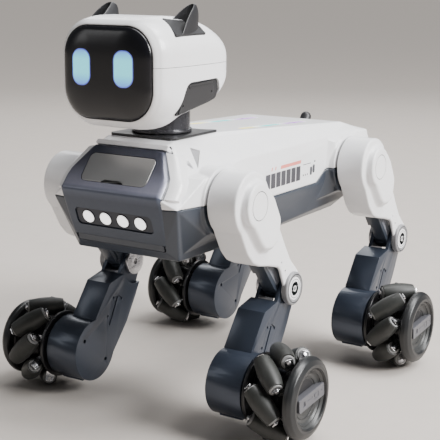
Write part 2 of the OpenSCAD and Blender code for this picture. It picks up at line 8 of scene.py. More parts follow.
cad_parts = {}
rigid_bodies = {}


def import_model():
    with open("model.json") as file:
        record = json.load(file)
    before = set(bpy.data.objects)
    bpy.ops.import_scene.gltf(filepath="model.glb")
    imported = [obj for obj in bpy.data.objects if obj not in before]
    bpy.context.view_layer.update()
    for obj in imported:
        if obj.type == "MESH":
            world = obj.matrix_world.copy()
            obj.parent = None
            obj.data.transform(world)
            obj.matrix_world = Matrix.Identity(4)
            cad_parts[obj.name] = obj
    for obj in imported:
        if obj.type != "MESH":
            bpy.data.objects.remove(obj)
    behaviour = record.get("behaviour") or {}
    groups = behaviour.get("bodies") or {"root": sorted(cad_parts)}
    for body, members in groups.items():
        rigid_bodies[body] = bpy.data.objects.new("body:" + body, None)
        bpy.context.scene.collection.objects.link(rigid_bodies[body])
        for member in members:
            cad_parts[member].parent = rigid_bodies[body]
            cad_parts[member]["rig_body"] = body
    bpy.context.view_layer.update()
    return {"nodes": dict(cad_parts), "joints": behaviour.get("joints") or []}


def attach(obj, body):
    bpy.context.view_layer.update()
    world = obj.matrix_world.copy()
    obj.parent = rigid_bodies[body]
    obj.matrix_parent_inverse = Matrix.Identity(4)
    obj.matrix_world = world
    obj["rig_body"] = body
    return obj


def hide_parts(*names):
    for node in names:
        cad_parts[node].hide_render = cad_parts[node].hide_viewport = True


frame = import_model()
JOINTS = {j["name"]: j for j in frame["joints"]}
LEGS = ("fl", "fr", "rl", "rr")
SIDES = ((1, "left"), (-1, "right"))
MM = 0.001
TAU = 2 * math.pi
TINY = 1e-6
SHARP = 0.01  # edge radius of a cutter, in mm
CREASE = 38  # degrees: sharper folds stay crisp and softer ones are shaded smooth


def spot(joint):
    """A joint's position in millimetres."""
    return Vector(JOINTS[joint]["pos_m"]) / MM


# Body and head shapes are drawn in millimetres about the middle of the wheelbase, leg shapes about the hip.
MID_Y = (spot("fl_hip").y + spot("rl_hip").y) / 2
NECK_Y = spot("neck_yaw").y - MID_Y
KNEE = (spot("fl_knee") - spot("fl_hip")).yz
AXLE = (spot("fl_wheel_spin") - spot("fl_hip")).yz
WHEEL_X = spot("fl_wheel_spin").x
ON_BODY = Matrix.Translation((0, MID_Y, 0))


def mirror(side):
    """Keeps a shape as drawn for the left side (1) and flips it for the right side (-1)."""
    return Matrix.Diagonal((side, 1, 1, 1))


def on_leg(leg):
    """Placement of a shape that is drawn about the hip axis with +X outward."""
    hip = spot(leg + "_hip")
    return Matrix.Translation((0, hip.y, hip.z)) @ mirror(1 if leg[1] == "l" else -1)


# ---- outlines

def filleted(corners, steps=6):
    """Closed outline with the given fillet radius at each corner (u, v, radius)."""
    points = []
    for i, (u, v, radius) in enumerate(corners):
        here = Vector((u, v))
        back = Vector(corners[i - 1][:2]) - here
        ahead = Vector(corners[(i + 1) % len(corners)][:2]) - here
        reach = 0.49 * min(back.length, ahead.length)
        back.normalize()
        ahead.normalize()
        opening = back.angle(ahead)
        if radius <= 0 or abs(math.pi - opening) < 0.01:
            points.append(here)
            continue
        cut = min(radius / math.tan(opening / 2), reach)
        radius = cut * math.tan(opening / 2)
        centre = here + (back + ahead).normalized() * (radius / math.sin(opening / 2))
        first, last = here + back * cut - centre, here + ahead * cut - centre
        start = math.atan2(first.y, first.x)
        turn = (math.atan2(last.y, last.x) - start + math.pi) % TAU - math.pi
        for k in range(steps + 1):
            angle = start + turn * k / steps
            points.append(centre + radius * Vector((math.cos(angle), math.sin(angle))))
    return points


def arc(u, v, radius, start, end, steps=24):
    """Points of an arc, angles in degrees."""
    angles = [math.radians(start + (end - start) * k / steps) for k in range(steps + 1)]
    return [Vector((u + radius * math.cos(a), v + radius * math.sin(a))) for a in angles]


def ring(radius, steps=64, u=0, v=0):
    return arc(u, v, radius, 0, 360 - 360 / steps, steps - 1)


def rounded(corners, radius, steps):
    """Outline with the same fillet at every corner (u, v)."""
    return filleted([(u, v, radius) for u, v in corners], steps)


def panel(w, h, radius, u=0, v=0, steps=8):
    """Rectangle with rounded corners."""
    corners = ((-1, -1), (1, -1), (1, 1), (-1, 1))
    return rounded([(u + a * w / 2, v + b * h / 2) for a, b in corners], radius, steps)


def dense(points, longest=1.5):
    """The outline with extra points on its long edges."""
    out = []
    for i, p in enumerate(points):
        step = points[(i + 1) % len(points)] - p
        count = max(1, math.ceil(step.length / longest))
        out += [p + step * k / count for k in range(count)]
    return out


def inset(points, depth):
    """The outline moved inward by depth."""
    n = len(points)
    area = sum(points[i - 1].x * points[i].y - points[i].x * points[i - 1].y for i in range(n))
    side = 1 if area > 0 else -1
    out = []
    for i, p in enumerate(points):
        before = p - points[i - 1]
        after = points[(i + 1) % n] - p
        if before.length <= TINY:
            before = after
        if after.length <= TINY:
            after = before
        along = (before.normalized() + after.normalized()).normalized()
        out.append(p + side * depth * Vector((-along.y, along.x)))
    return out


# ---- solids

def loft(rings, closed=(True, True)):
    """Skin over rings of equally many points."""
    bm = bmesh.new()
    loops = [[bm.verts.new(p) for p in r] for r in rings]
    n = len(loops[0])
    for low, high in zip(loops, loops[1:]):
        for i in range(n):
            j = (i + 1) % n
            bm.faces.new((low[i], low[j], high[j], high[i]))
    if closed[0]:
        bm.faces.new(list(reversed(loops[0])))
    if closed[1]:
        bm.faces.new(loops[-1])
    bmesh.ops.recalc_face_normals(bm, faces=bm.faces)
    return bm


def plate(outline, x0, x1, edge=0.4, steps=3):
    """Outline in the Y-Z plane, thick from x0 to x1, with rounded rims."""
    quarter = [math.pi / 2 * k / steps for k in range(steps + 1)]
    rims = [(x0 + edge * (1 - math.cos(t)), edge * (1 - math.sin(t))) for t in quarter]
    rims += [(x1 - edge * (1 - math.cos(t)), edge * (1 - math.sin(t))) for t in reversed(quarter)]
    return loft([[(x, p.x, p.y) for p in inset(outline, depth)] for x, depth in rims])


def lathe(profile, steps=72, capped=True):
    """Profile of (x, radius) points turned about the X axis; an uncapped one is closed on itself."""
    if not capped:
        profile = list(profile) + [profile[0]]
    angles = [TAU * k / steps for k in range(steps)]
    rings = []
    for x, r in profile:
        r = max(r, 0.01)
        rings.append([(x, r * math.cos(a), r * math.sin(a)) for a in angles])
    return loft(rings, (capped, capped))


def soft_profile(corners, steps=4):
    """Lathe profile through corners (x, r, fillet), with its two ends left sharp."""
    points = []
    for i, (x, r, radius) in enumerate(corners):
        if 0 < i < len(corners) - 1 and radius > 0:
            trio = [corners[i - 1], (x, r, radius), corners[i + 1]]
            ends = [Vector(trio[0][:2]), Vector(trio[2][:2])]
            points += [p for p in filleted(trio, steps) if all((p - end).length > TINY for end in ends)]
        else:
            points.append(Vector((x, r)))
    return [(p.x, p.y) for p in points]


def joined(*solids):
    """Several solids in one mesh."""
    whole = bmesh.new()
    for part in solids:
        held = bpy.data.meshes.new("held")
        part.to_mesh(held)
        part.free()
        whole.from_mesh(held)
        bpy.data.meshes.remove(held)
    return whole


def moved(bm, matrix):
    bmesh.ops.transform(bm, matrix=matrix, verts=bm.verts)
    if matrix.determinant() < 0:
        bmesh.ops.reverse_faces(bm, faces=bm.faces)
    return bm


def turned(bm, axis, degrees):
    return moved(bm, Matrix.Rotation(math.radians(degrees), 4, axis))


# ---- pieces

def add(name, bm, place, material, body, stands_for=()):
    """Puts a shape drawn in millimetres into the scene as a piece of that body."""
    moved(bm, place)
    bmesh.ops.scale(bm, vec=(MM, MM, MM), verts=bm.verts)
    mesh = bpy.data.meshes.new(name)
    bm.to_mesh(mesh)
    bm.free()
    return sharpened(add_mesh(name, mesh, material, body, stands_for))


def on_trunk(name, bm, material, stands_for=()):
    return add(name, bm, ON_BODY, material, "trunk", stands_for)


def on_head(name, bm, material, stands_for=()):
    return add(name, bm, ON_BODY, material, "head", stands_for)


MADE = []


def add_mesh(name, mesh, material, body, stands_for=()):
    """Links a mesh in metres as a piece, and keeps it in MADE for the last shading step."""
    o = bpy.data.objects.new(name, mesh)
    MADE.append(o)
    bpy.context.scene.collection.objects.link(o)
    mesh.materials.clear()
    mesh.materials.append(material)
    mesh.polygons.foreach_set("use_smooth", [True] * len(mesh.polygons))
    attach(o, body)
    if stands_for:
        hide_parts(*stands_for)
    return o


def baked(o):
    """Turns the modifiers into the mesh."""
    mesh = bpy.data.meshes.new_from_object(o.evaluated_get(bpy.context.evaluated_depsgraph_get()))
    o.modifiers.clear()
    o.data = mesh
    mesh.polygons.foreach_set("use_smooth", [True] * len(mesh.polygons))
    return o


def sharpened(o, degrees=CREASE):
    """Keeps creases above that angle crisp while the rest is smooth."""
    o.data.set_sharp_from_angle(angle=math.radians(degrees))
    return o


def softened(o, voxel, passes):
    """Merges overlapping solids and rounds their creases, as a moulded part has them."""
    remesh = o.modifiers.new("merge", "REMESH")
    remesh.mode = "VOXEL"
    remesh.voxel_size = voxel * MM
    smooth = o.modifiers.new("round", "SMOOTH")
    smooth.factor = 0.5
    smooth.iterations = passes
    return baked(o)


def carved(o, cutter):
    """Cuts a shape drawn in millimetres out of a piece."""
    bmesh.ops.scale(cutter, vec=(MM, MM, MM), verts=cutter.verts)
    mesh = bpy.data.meshes.new("cutter")
    cutter.to_mesh(mesh)
    cutter.free()
    tool = bpy.data.objects.new("cutter", mesh)
    bpy.context.scene.collection.objects.link(tool)
    cut = o.modifiers.new("cut", "BOOLEAN")
    cut.object = tool
    cut.operation = "DIFFERENCE"
    cut.solver = "EXACT"
    baked(o)
    bpy.data.objects.remove(tool)
    return o


def moulded(node, name, material, voxel, passes):
    """A copy of a CAD node with its creases rounded, standing for that node."""
    source = frame["nodes"][node]
    o = add_mesh(name, source.data.copy(), material, source["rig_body"], [node])
    return softened(o, voxel, passes)


def crisp(node, material, width=0.35):
    """Gives a CAD node small edge radii and a finish of its own."""
    o = frame["nodes"][node]
    o.data.materials.clear()
    o.data.materials.append(material)
    for p in o.data.polygons:
        p.use_smooth = True
    weld = o.modifiers.new("weld", "WELD")
    weld.merge_threshold = 2e-6
    flat = o.modifiers.new("flat", "DECIMATE")
    flat.decimate_type = "DISSOLVE"
    flat.angle_limit = math.radians(0.6)
    bevel = o.modifiers.new("bevel", "BEVEL")
    bevel.width = width * MM
    bevel.segments = 3
    bevel.limit_method = "ANGLE"
    bevel.angle_limit = math.radians(32)
    bevel.harden_normals = True
    return o


# ---- finishes

def nodes_of(name):
    """A new material, its node tree and its shader."""
    m = bpy.data.materials.new(name)
    m.use_nodes = True
    return m, m.node_tree, m.node_tree.nodes["Principled BSDF"]


def coordinates(tree):
    """The surface point in metres in the shared frame, from one node for each material."""
    place = tree.nodes.get("place") or tree.nodes.new("ShaderNodeTexCoord")
    place.name = "place"
    return place.outputs["Object"]


def link(value, node, key):
    node.id_data.links.new(value, node.inputs[key])


def preset(node, *values):
    """Sets inputs of a node, given as (name, value)."""
    for key, value in values:
        node.inputs[key].default_value = value


def noise(tree, scale, detail=3.0, rough=0.5, distortion=0.0):
    n = tree.nodes.new("ShaderNodeTexNoise")
    preset(n, ("Scale", scale), ("Detail", detail), ("Roughness", rough), ("Distortion", distortion))
    link(coordinates(tree), n, "Vector")
    return n.outputs["Fac"]


def ramp(tree, value, *stops):
    """Colour ramp with stops of (position, colour)."""
    n = tree.nodes.new("ShaderNodeValToRGB")
    while len(n.color_ramp.elements) < len(stops):
        n.color_ramp.elements.new(0.5)
    for e, (at, colour) in zip(n.color_ramp.elements, stops):
        e.position = at
        e.color = (*colour, 1)
    link(value, n, "Fac")
    return n.outputs["Color"]


def remap(tree, value, low, high, to_low, to_high):
    """The value carried from low..high to to_low..to_high, and held there beyond it."""
    n = tree.nodes.new("ShaderNodeMapRange")
    preset(n, ("From Min", low), ("From Max", high), ("To Min", to_low), ("To Max", to_high))
    link(value, n, "Value")
    return n.outputs["Result"]


def about(tree, grain, middle, spread):
    """A noise turned into a value that stays within spread of the middle."""
    return remap(tree, grain, 0.3, 0.7, middle - spread, middle + spread)


def mixed(tree, share, a, b):
    """Colour between a and b; each is a colour or a socket."""
    n = tree.nodes.new("ShaderNodeMix")
    n.data_type = "RGBA"
    colour_in = [s for s in n.inputs if s.type == "RGBA"]
    link(share, n, "Factor")
    for socket, c in zip(colour_in, (a, b)):
        if isinstance(c, tuple):
            socket.default_value = (*c, 1)
        else:
            tree.links.new(c, socket)
    return [s for s in n.outputs if s.type == "RGBA"][0]


def axis_of(tree, which):
    """One coordinate of the surface point, in metres in the shared frame."""
    n = tree.nodes.new("ShaderNodeSeparateXYZ")
    link(coordinates(tree), n, "Vector")
    return n.outputs[which]


def bumped(tree, shader, height, strength):
    """Fine relief, at most 0.2 mm high."""
    n = tree.nodes.new("ShaderNodeBump")
    preset(n, ("Strength", strength), ("Distance", 0.2 * MM))
    link(height, n, "Height")
    link(n.outputs["Normal"], shader, "Normal")


def shade(colour, factor):
    return tuple(min(1.0, c * factor) for c in colour)


def plastic(name, colour, rough, grain=1500.0, strength=0.05, spread=0.05, coat=0.0, metal=0.0,
            specular=0.5, rough_spread=0.05):
    """Moulded plastic or paint: faint colour drift, patchy gloss and a fine surface grain."""
    m, tree, shader = nodes_of(name)
    drift = noise(tree, 38, 4, 0.6)
    tint = ramp(tree, drift, (0.3, shade(colour, 1 - spread)), (0.7, shade(colour, 1 + spread)))
    link(tint, shader, "Base Color")
    gloss = noise(tree, 120, 5, 0.65, 0.3)
    link(about(tree, gloss, rough, rough_spread), shader, "Roughness")
    bumped(tree, shader, noise(tree, grain, 2, 0.5), strength)
    preset(shader, ("Metallic", metal), ("Specular IOR Level", specular), ("Coat Weight", coat),
           ("Coat Roughness", 0.12))
    return m


def brushed(name, colour, rough):
    """Metal with fine marks along one direction."""
    m, tree, shader = nodes_of(name)
    stretch = tree.nodes.new("ShaderNodeMapping")
    preset(stretch, ("Scale", (60, 60, 900)))
    link(coordinates(tree), stretch, "Vector")
    marks = tree.nodes.new("ShaderNodeTexNoise")
    preset(marks, ("Scale", 3), ("Detail", 4))
    link(stretch.outputs["Vector"], marks, "Vector")
    grain = marks.outputs["Fac"]
    tint = ramp(tree, grain, (0.3, shade(colour, 0.85)), (0.7, colour))
    link(tint, shader, "Base Color")
    link(about(tree, grain, rough + 0.01, 0.07), shader, "Roughness")
    preset(shader, ("Metallic", 1))
    bumped(tree, shader, grain, 0.08)
    return m


def rubber(name, colour):
    """Matt rubber with dust in its grain."""
    m, tree, shader = nodes_of(name)
    dust = noise(tree, 260, 6, 0.7)
    link(ramp(tree, dust, (0.35, colour), (0.75, shade(colour, 1.7))), shader, "Base Color")
    link(about(tree, noise(tree, 90, 3), 0.5, 0.08), shader, "Roughness")
    bumped(tree, shader, noise(tree, 2400, 3, 0.6), 0.18)
    preset(shader, ("Sheen Weight", 0.08))
    return m


def glowing(name, colour, strength, ends=None, axis="Z", low=0.0, high=1.0):
    """Lit lens; ends is the colour at both ends of the given axis."""
    m, tree, shader = nodes_of(name)
    flicker = noise(tree, 900, 2)
    core = ramp(tree, flicker, (0.3, shade(colour, 0.96)), (0.7, colour))
    if ends:
        height = remap(tree, axis_of(tree, axis), low, high, 0, 1)
        fade = ramp(tree, height, (0.0, (1, 1, 1)), (0.16, (0.55,) * 3), (0.34, (0, 0, 0)),
                    (0.72, (0, 0, 0)), (0.88, (0.5,) * 3), (1.0, (1, 1, 1)))
        core = mixed(tree, fade, core, ends)
    link(core, shader, "Emission Color")
    link(core, shader, "Base Color")
    preset(shader, ("Emission Strength", strength), ("Roughness", 0.25))
    return m


STRIP_TINTS = (  # share of the way back along the strip, colour
    (0.0, (0.85, 0.72, 0.08)), (0.14, (0.85, 0.78, 0.25)), (0.24, (0.8, 0.84, 0.84)),
    (0.34, (0.02, 0.62, 0.6)), (0.5, (0.04, 0.66, 0.64)), (0.6, (0.8, 0.84, 0.86)),
    (0.7, (0.5, 0.16, 0.72)), (0.9, (0.52, 0.2, 0.75)), (1.0, (0.84, 0.82, 0.86)))


def tinted_strip(name):
    """Diffuser bar whose tint drifts along the back."""
    m, tree, shader = nodes_of(name)
    tint = ramp(tree, remap(tree, axis_of(tree, "Y"), -0.02, 0.08, 0, 1), *STRIP_TINTS)
    link(tint, shader, "Base Color")
    link(tint, shader, "Emission Color")
    preset(shader, ("Emission Strength", 0.35))
    link(about(tree, noise(tree, 200, 3), 0.325, 0.075), shader, "Roughness")
    bumped(tree, shader, noise(tree, 1600, 2), 0.05)
    return m


def painted_light_bands(name, stops, rough):
    """Satin paint with painted highlight and painted shade in bands that change with height; stops are
    (height in m, colour).
    """
    m, tree, shader = nodes_of(name)
    low, high = stops[0][0], stops[-1][0]
    height = remap(tree, axis_of(tree, "Z"), low, high, 0, 1)
    tint = ramp(tree, height, *[((z - low) / (high - low), colour) for z, colour in stops])
    fleck = ramp(tree, noise(tree, 300, 3), (0.3, (0.96,) * 3), (0.7, (1.04,) * 3))
    product = tree.nodes.new("ShaderNodeVectorMath")
    product.operation = "MULTIPLY"
    tree.links.new(tint, product.inputs[0])
    tree.links.new(fleck, product.inputs[1])
    link(product.outputs[0], shader, "Base Color")
    link(about(tree, noise(tree, 120, 5), rough, 0.02), shader, "Roughness")
    bumped(tree, shader, noise(tree, 1700, 2), 0.02)
    preset(shader, ("Metallic", 0.3), ("Coat Weight", 0.15))
    return m


WHITE = plastic("white_moulding", (0.84, 0.84, 0.855), 0.34, 1300, 0.03, 0.015, coat=0.25)
SLATE = plastic(
    "slate_moulding", (0.032, 0.040, 0.055), 0.36, 1700, 0.03, 0.03, coat=0.12, rough_spread=0.015)
SLATE_SATIN = plastic(
    "slate_satin_paint", (0.044, 0.055, 0.078), 0.3, 2200, 0.015, 0.02, metal=0.5, coat=0.15,
    rough_spread=0.01)
NAVY = plastic("navy_rim", (0.012, 0.016, 0.028), 0.36, 1700, 0.07, 0.08)
CHARCOAL = plastic("charcoal_plastic", (0.020, 0.020, 0.022), 0.42, 2000, 0.05, 0.05, rough_spread=0.02)
CHARCOAL_SHADE = plastic("charcoal_shadow", (0.018, 0.018, 0.02), 0.5, 2000, 0.09, 0.08)
GUNMETAL = plastic("neck_gunmetal", (0.055, 0.055, 0.062), 0.26, 1800, 0.04, 0.05, metal=0.5, coat=0.2)
FLAP = plastic("flap_grey", (0.40, 0.40, 0.40), 0.3, 1700, 0.008, 0.01, metal=0.7, rough_spread=0.008)
BLACK_GLOSS = plastic(
    "visor_black", (0.004, 0.004, 0.006), 0.26, 600, 0.005, 0.1, coat=0.08, rough_spread=0.01)
GASKET = plastic("visor_gasket", (0.035, 0.035, 0.038), 0.45, 2000, 0.08)
EYES = glowing("eye_light", (0.20, 0.84, 0.98), 0.98, (0.14, 0.30, 0.85), "Z", 0.2418, 0.2652)
EYE_RIM = glowing("eye_halo", (0.16, 0.20, 0.75), 0.4)
LAMPS = glowing("lamp_light", (1.0, 1.0, 1.0), 1.6)
RUBBER = rubber("roller_rubber", (0.011, 0.012, 0.0105))
CAP = plastic("hub_cap_grey", (0.012, 0.013, 0.014), 0.36, 1800, 0.08, 0.06)
DISH = plastic("dish_grey", (0.034, 0.035, 0.035), 0.38, 1800, 0.07, 0.06)
BAR = plastic("grip_grey", (0.085, 0.085, 0.095), 0.36, 1800, 0.07, 0.06)
HUB = plastic("hub_black", (0.012, 0.012, 0.014), 0.3, 1500, 0.06, 0.1)
END_CAP = plastic("roller_end_cap", (0.22, 0.22, 0.22), 0.4, 1600, 0.06)
STEEL = brushed("screw_steel", (0.55, 0.55, 0.57), 0.3)
TAB = brushed("bracket_steel", (0.75, 0.75, 0.76), 0.22)
KNEE_GREY = plastic("knee_ring_grey", (0.25, 0.25, 0.26), 0.38, 1700, 0.05, 0.04)
# Near-black finish used as painted shade in the head seam, the hip and knee grooves and the hub cap's
# openings.
PAINTED_SHADE = plastic("groove_shadow", (0.01, 0.01, 0.012), 0.6, 1500, 0.05)
BOARD = plastic("circuit_board", (0.01, 0.12, 0.05), 0.4, 600, 0.2, 0.2)
WRAP = plastic("battery_wrap", (0.05, 0.16, 0.4), 0.3, 800, 0.03, 0.05, coat=0.3)
# The bezel's tint by height is painted light: a painted highlight just above the bend, painted shade growing
# darker towards the top of the slope, and bands of painted shade on the front below the bend.
BEZEL_PAINTED_LIGHT = painted_light_bands("bezel_painted_highlight", (
    (0.130, (0.034, 0.044, 0.064)), (0.150, (0.046, 0.058, 0.082)), (0.1640, (0.040, 0.050, 0.074)),
    (0.1700, (0.07, 0.085, 0.125)), (0.1735, (0.26, 0.265, 0.34)), (0.178, (0.22, 0.225, 0.29)),
    (0.186, (0.10, 0.105, 0.14)), (0.194, (0.045, 0.05, 0.075)), (0.200, (0.025, 0.03, 0.05))), 0.34)
BAR_LIGHT = plastic("frame_bar_grey", (0.2, 0.21, 0.24), 0.35, 1700, 0.05, 0.04, metal=0.2)
INK = plastic("print_dark", (0.05, 0.05, 0.06), 0.5, 900, 0.05, 0.15)
CORAL = plastic("print_coral", (0.75, 0.22, 0.18), 0.5, 900, 0.05, 0.1)
STRIPS = tinted_strip("strip_light")
RED = plastic("switch_red", (0.5, 0.02, 0.02), 0.35, 1500, 0.06)

# ---- trunk

SHELL_VOXEL = 0.7
top_shell = moulded("body_upper_shell", "body_top_moulding", WHITE, SHELL_VOXEL, 3)

# Three-cornered vent on each shoulder: its left corners, and the heights of its cut and of a grey floor that
# paints shade into the recess
VENT = [Vector((34.0, -99.2, 198.3)), Vector((37.5, -91.6, 195.3)), Vector((44.5, -104.6, 185.2))]
VENT_OUT = Vector((0.746, -0.114, 0.656))
VENT_CUT = ((-1.7, -0.4, -1.3), (4, 4, 4))
VENT_SHADE_FLOOR = ((-2.1, -0.9, -1.8), (-1.45, -0.35, -1.1))


def vent_wedge(side, levels):
    """Three-sided block between two sets of heights at the vent's corners."""
    wedge = loft([[p + VENT_OUT * d for p, d in zip(VENT, depths)] for depths in levels])
    return moved(moved(wedge, mirror(side)), ON_BODY)


for side, tag in SIDES:
    carved(top_shell, vent_wedge(side, VENT_CUT))
    # Grey wedge at the bottom of each vent: painted shade in the recess.
    add("vent_shade_floor_" + tag, vent_wedge(side, VENT_SHADE_FLOOR), Matrix(), KNEE_GREY, "trunk")
sharpened(top_shell, 32)
moulded("body_lower_shell", "body_bottom_moulding", SLATE, SHELL_VOXEL, 3)
moulded("tail", "tail_stub", CHARCOAL, 0.5, 4)
for node, finish, edge in (
        ("neck_plate", CHARCOAL, 0.6), ("neck_column", GUNMETAL, 0.6), ("battery_door", SLATE, 0.4),
        ("charge_jack", CHARCOAL, 0.2), ("power_switch", RED, 0.4), ("body_screws", STEEL, 0.1),
        ("control_board", BOARD, 0.1), ("battery_pack", WRAP, 0.4), ("speaker", CHARCOAL, 0.3),
        ("neck_servo", CHARCOAL, 0.5), ("hip_servos", CHARCOAL, 0.5), ("top_light_bars", STRIPS, 0.3)):
    crisp(node, finish, edge)

# Chest bezel: a thick plate bent across the middle, its face narrower than its base
BEND = Vector((0, -147.0, 170.5))
SLOPE_DIR = Vector((0, 23.5, 28.0)).normalized()
FRONT_DIR = Vector((0, 13.4, -37.5)).normalized()
SLOPE_OUT = Vector((0, -28.0, 23.5)).normalized()
FRONT_OUT = Vector((0, -37.5, -13.4)).normalized()
BEND_OUT = (SLOPE_OUT + FRONT_OUT).normalized()
BEND_RADIUS = 3.1
BEND_SINK = 3.4
SLOPE_STATIONS = (  # distance from the bend, half width of the face
    (36.8, 26.4), (36.2, 27.4), (34.5, 28.6), (28, 32.2), (22, 35.4), (16.5, 38.3), (11, 39.4), (6, 39.6),
    (3.6, 39.6))
FRONT_STATIONS = (
    (3.6, 39.9), (7, 39.9), (14, 39.7), (24, 39.2), (32, 38.8), (35.4, 38.2), (36.3, 37.6), (36.9, 36.9))
RIM = ((3.4, 14.0), (3.4, 5.6), (3.1, 4.2), (2.2, 2.2), (0.9, 0.75), (0, 0.18), (-1.2, 0.0))
RIM_TURN = 2.2
FACE_STEPS = 8

# Each row across the bezel: its middle, its way out and the half width of its face
rows = [(BEND + SLOPE_DIR * t, SLOPE_OUT, half) for t, half in SLOPE_STATIONS]
for k in range(-2, 3):
    out = (SLOPE_OUT * (2 - k) + FRONT_OUT * (2 + k)).normalized()
    rows.append((BEND - BEND_OUT * BEND_SINK + out * BEND_RADIUS, out, 39.7))
rows += [(BEND + FRONT_DIR * t, FRONT_OUT, half) for t, half in FRONT_STATIONS]
END_DEPTH = {0: 2.0, 1: 0.4, len(rows) - 2: 0.4, len(rows) - 1: 2.0}


def row_point(row, x, depth, turn):
    """Point x across from a row's middle, below its face; beyond the turn it goes straight in."""
    return row[0] + Vector((x, 0, 0)) - row[1] * min(depth, turn) - BEND_OUT * max(depth - turn, 0)


def bezel_ring(row, sink):
    """The bezel's outline across one row, from the left rim over the face to the right rim."""
    half = row[2]
    left = [(-half - beyond, depth) for beyond, depth in RIM]
    face = [(half * u / FACE_STEPS, 0.0) for u in range(1 - FACE_STEPS, FACE_STEPS)]
    right = [(-x, depth) for x, depth in reversed(left)]
    return [row_point(row, x, max(depth, sink), RIM_TURN) for x, depth in left + face + right]


bezel = loft([bezel_ring(row, END_DEPTH.get(k, 0.0)) for k, row in enumerate(rows)])
bezel = on_trunk("chest_bezel", bezel, BEZEL_PAINTED_LIGHT, ["chest_panel"])


def chest_plane(origin, along, out):
    """Placement of a shape drawn with X out of a chest plane, Y across it and Z along it."""
    basis = Matrix(((0, 1, 0), (out.y, 0, along.y), (out.z, 0, along.z))).to_4x4()
    return Matrix.Translation(origin) @ basis


def chest_block(outline, plane, low, high, edge=0.3):
    """Outline drawn on a chest plane, thick from low to high along its normal."""
    return moved(plate(outline, low, high, edge), plane)


def chest_cut(o, outline, plane, depth, edge=SHARP):
    """Cuts an outline drawn on a chest plane out of a piece, down to a depth."""
    carved(o, moved(chest_block(outline, plane, -depth, 8, edge), ON_BODY))


LID_DIR = Vector((0, 23.4, 27.0)).normalized()
LID_OUT = Vector((0, -27.0, 23.4)).normalized()
FLAP_PLANE = chest_plane(Vector((0, -145.6, 171.6)), LID_DIR, LID_OUT)
LID_PLANE = chest_plane(BEND + SLOPE_DIR * 1.75, SLOPE_DIR, SLOPE_OUT)
LAMP_MIDDLE = BEND + FRONT_DIR * 21.4 + Vector((-0.6, 0, 0))
LAMP_PLANE = chest_plane(LAMP_MIDDLE, FRONT_DIR, FRONT_OUT)
NAVY_DEPTH = 2.4

flap_half = [(7, 7.1, 0.5), (8.6, 5.3, 0.5), (27.9, 5.3, 4.6), (28.0, 28.3, 4.4)]
flap_hole = filleted([(-y, z, r) for y, z, r in reversed(flap_half)] + flap_half, 6)
compartment = panel(40, 12, 2, 0, 12)
chest_cut(bezel, flap_hole, FLAP_PLANE, 0.9)
chest_cut(bezel, compartment, FLAP_PLANE, 20)
flap = [chest_block(inset(flap_hole, 0.5), LID_PLANE, -0.75, 0.1, 0.35)]
flap += [chest_block(panel(8, 2.2, 0.4, x, 26.2), LID_PLANE, -1.15, -0.7, 0.1) for x in (-18, 18)]
add("chest_flap_lid", joined(*flap), ON_BODY, FLAP, "chest_flap", ["chest_flap"])
chest_cut(bezel, panel(64.6, 13.4, 3.4), LAMP_PLANE, 1.5)
bezel.data.materials.append(NAVY)
for face in bezel.data.polygons:
    c = face.center / MM - Vector((0, MID_Y, 0)) - BEND
    face.material_index = 1 if max(c.dot(SLOPE_OUT), c.dot(FRONT_OUT)) < -NAVY_DEPTH else 0
sharpened(bezel, 40)

# White surround on both sides of the bezel, from the neck plate to the seam, and the bars above and below
SURROUND_ROWS = (  # share of the change from the neck outline to the flank outline, row of the bezel
    (0, 0), (0.04, 1), (0.12, 2), (0.4, 3), (0.62, 4), (0.8, 5), (0.92, 6), (1, 8), (1, 11), (1, 13),
    (1, 15))
AT_NECK = ((0.4, 15), (0.6, 3.3), (1.5, 2.5), (7.4, 3.5), (9.4, 4.6), (10.4, 7.5), (10.0, 15))
AT_FLANK = ((0.4, 15), (0.8, 4.4), (1.9, 3.7), (5.4, 4.9), (8.6, 6.9), (10.8, 10.5), (10.8, 15))
SURROUND_TURN = 4


def surround_ring(side, share, k):
    """The surround's outline beside one row; the two outlines are (distance outside the face, depth)."""
    drop = 1.4 if k > 13 else 0
    points = []
    for (x0, d0), (x1, d1) in zip(AT_NECK, AT_FLANK):
        x = side * (rows[k][2] + (x0 + (x1 - x0) * share))
        points.append(row_point(rows[k], x, d0 + (d1 - d0) * share + drop, SURROUND_TURN))
    return points


surround = [loft([surround_ring(side, *row) for row in SURROUND_ROWS]) for side, tag in SIDES]
surround.append(chest_block(panel(61, 4, 1.8, 0, 38.4), FLAP_PLANE, -8, -1.0, 0.5))
on_trunk("chest_surround", joined(*surround), WHITE)
lip = chest_block(panel(73, 5.2, 1.2, 0, 38.8), chest_plane(BEND, FRONT_DIR, FRONT_OUT), -10, -0.5, 0.5)
on_trunk("chest_lip", lip, SLATE)

tray = chest_block(panel(43.6, 15.6, 3, 0, 12), FLAP_PLANE, -14, -1.2, 0.4)
tray = on_trunk("chest_tray", tray, CHARCOAL)
chest_cut(tray, compartment, FLAP_PLANE, 12.4, 0.5)

strip = chest_block(panel(64.0, 12.8, 3.1), LAMP_PLANE, -2.4, -0.75, 0.5)
on_trunk("lamp_strip", strip, NAVY, ["chest_lamps"])
LENS_PITCH = 14.66
LENS_COLLAR = ((-1.2, 4.6), (-0.3, 4.7), (-0.3, 5.2), (-0.9, 5.5))
lens_planes = [chest_plane(LAMP_MIDDLE + Vector((n * LENS_PITCH, 0, 0)), FRONT_DIR, FRONT_OUT)
               for n in (-1.5, -0.5, 0.5, 1.5)]
lenses = [chest_block(ring(4.55, 40), plane, -1.6, 0.15, 0.8) for plane in lens_planes]
collars = [moved(lathe(LENS_COLLAR, 40, False), plane) for plane in lens_planes]
on_trunk("chest_lenses", joined(*lenses), LAMPS)
on_trunk("lens_collars", joined(*collars), CHARCOAL)

# Printed marks on the flanks: plain blocks, bars and dots
PRINT_LIFT = 0.08


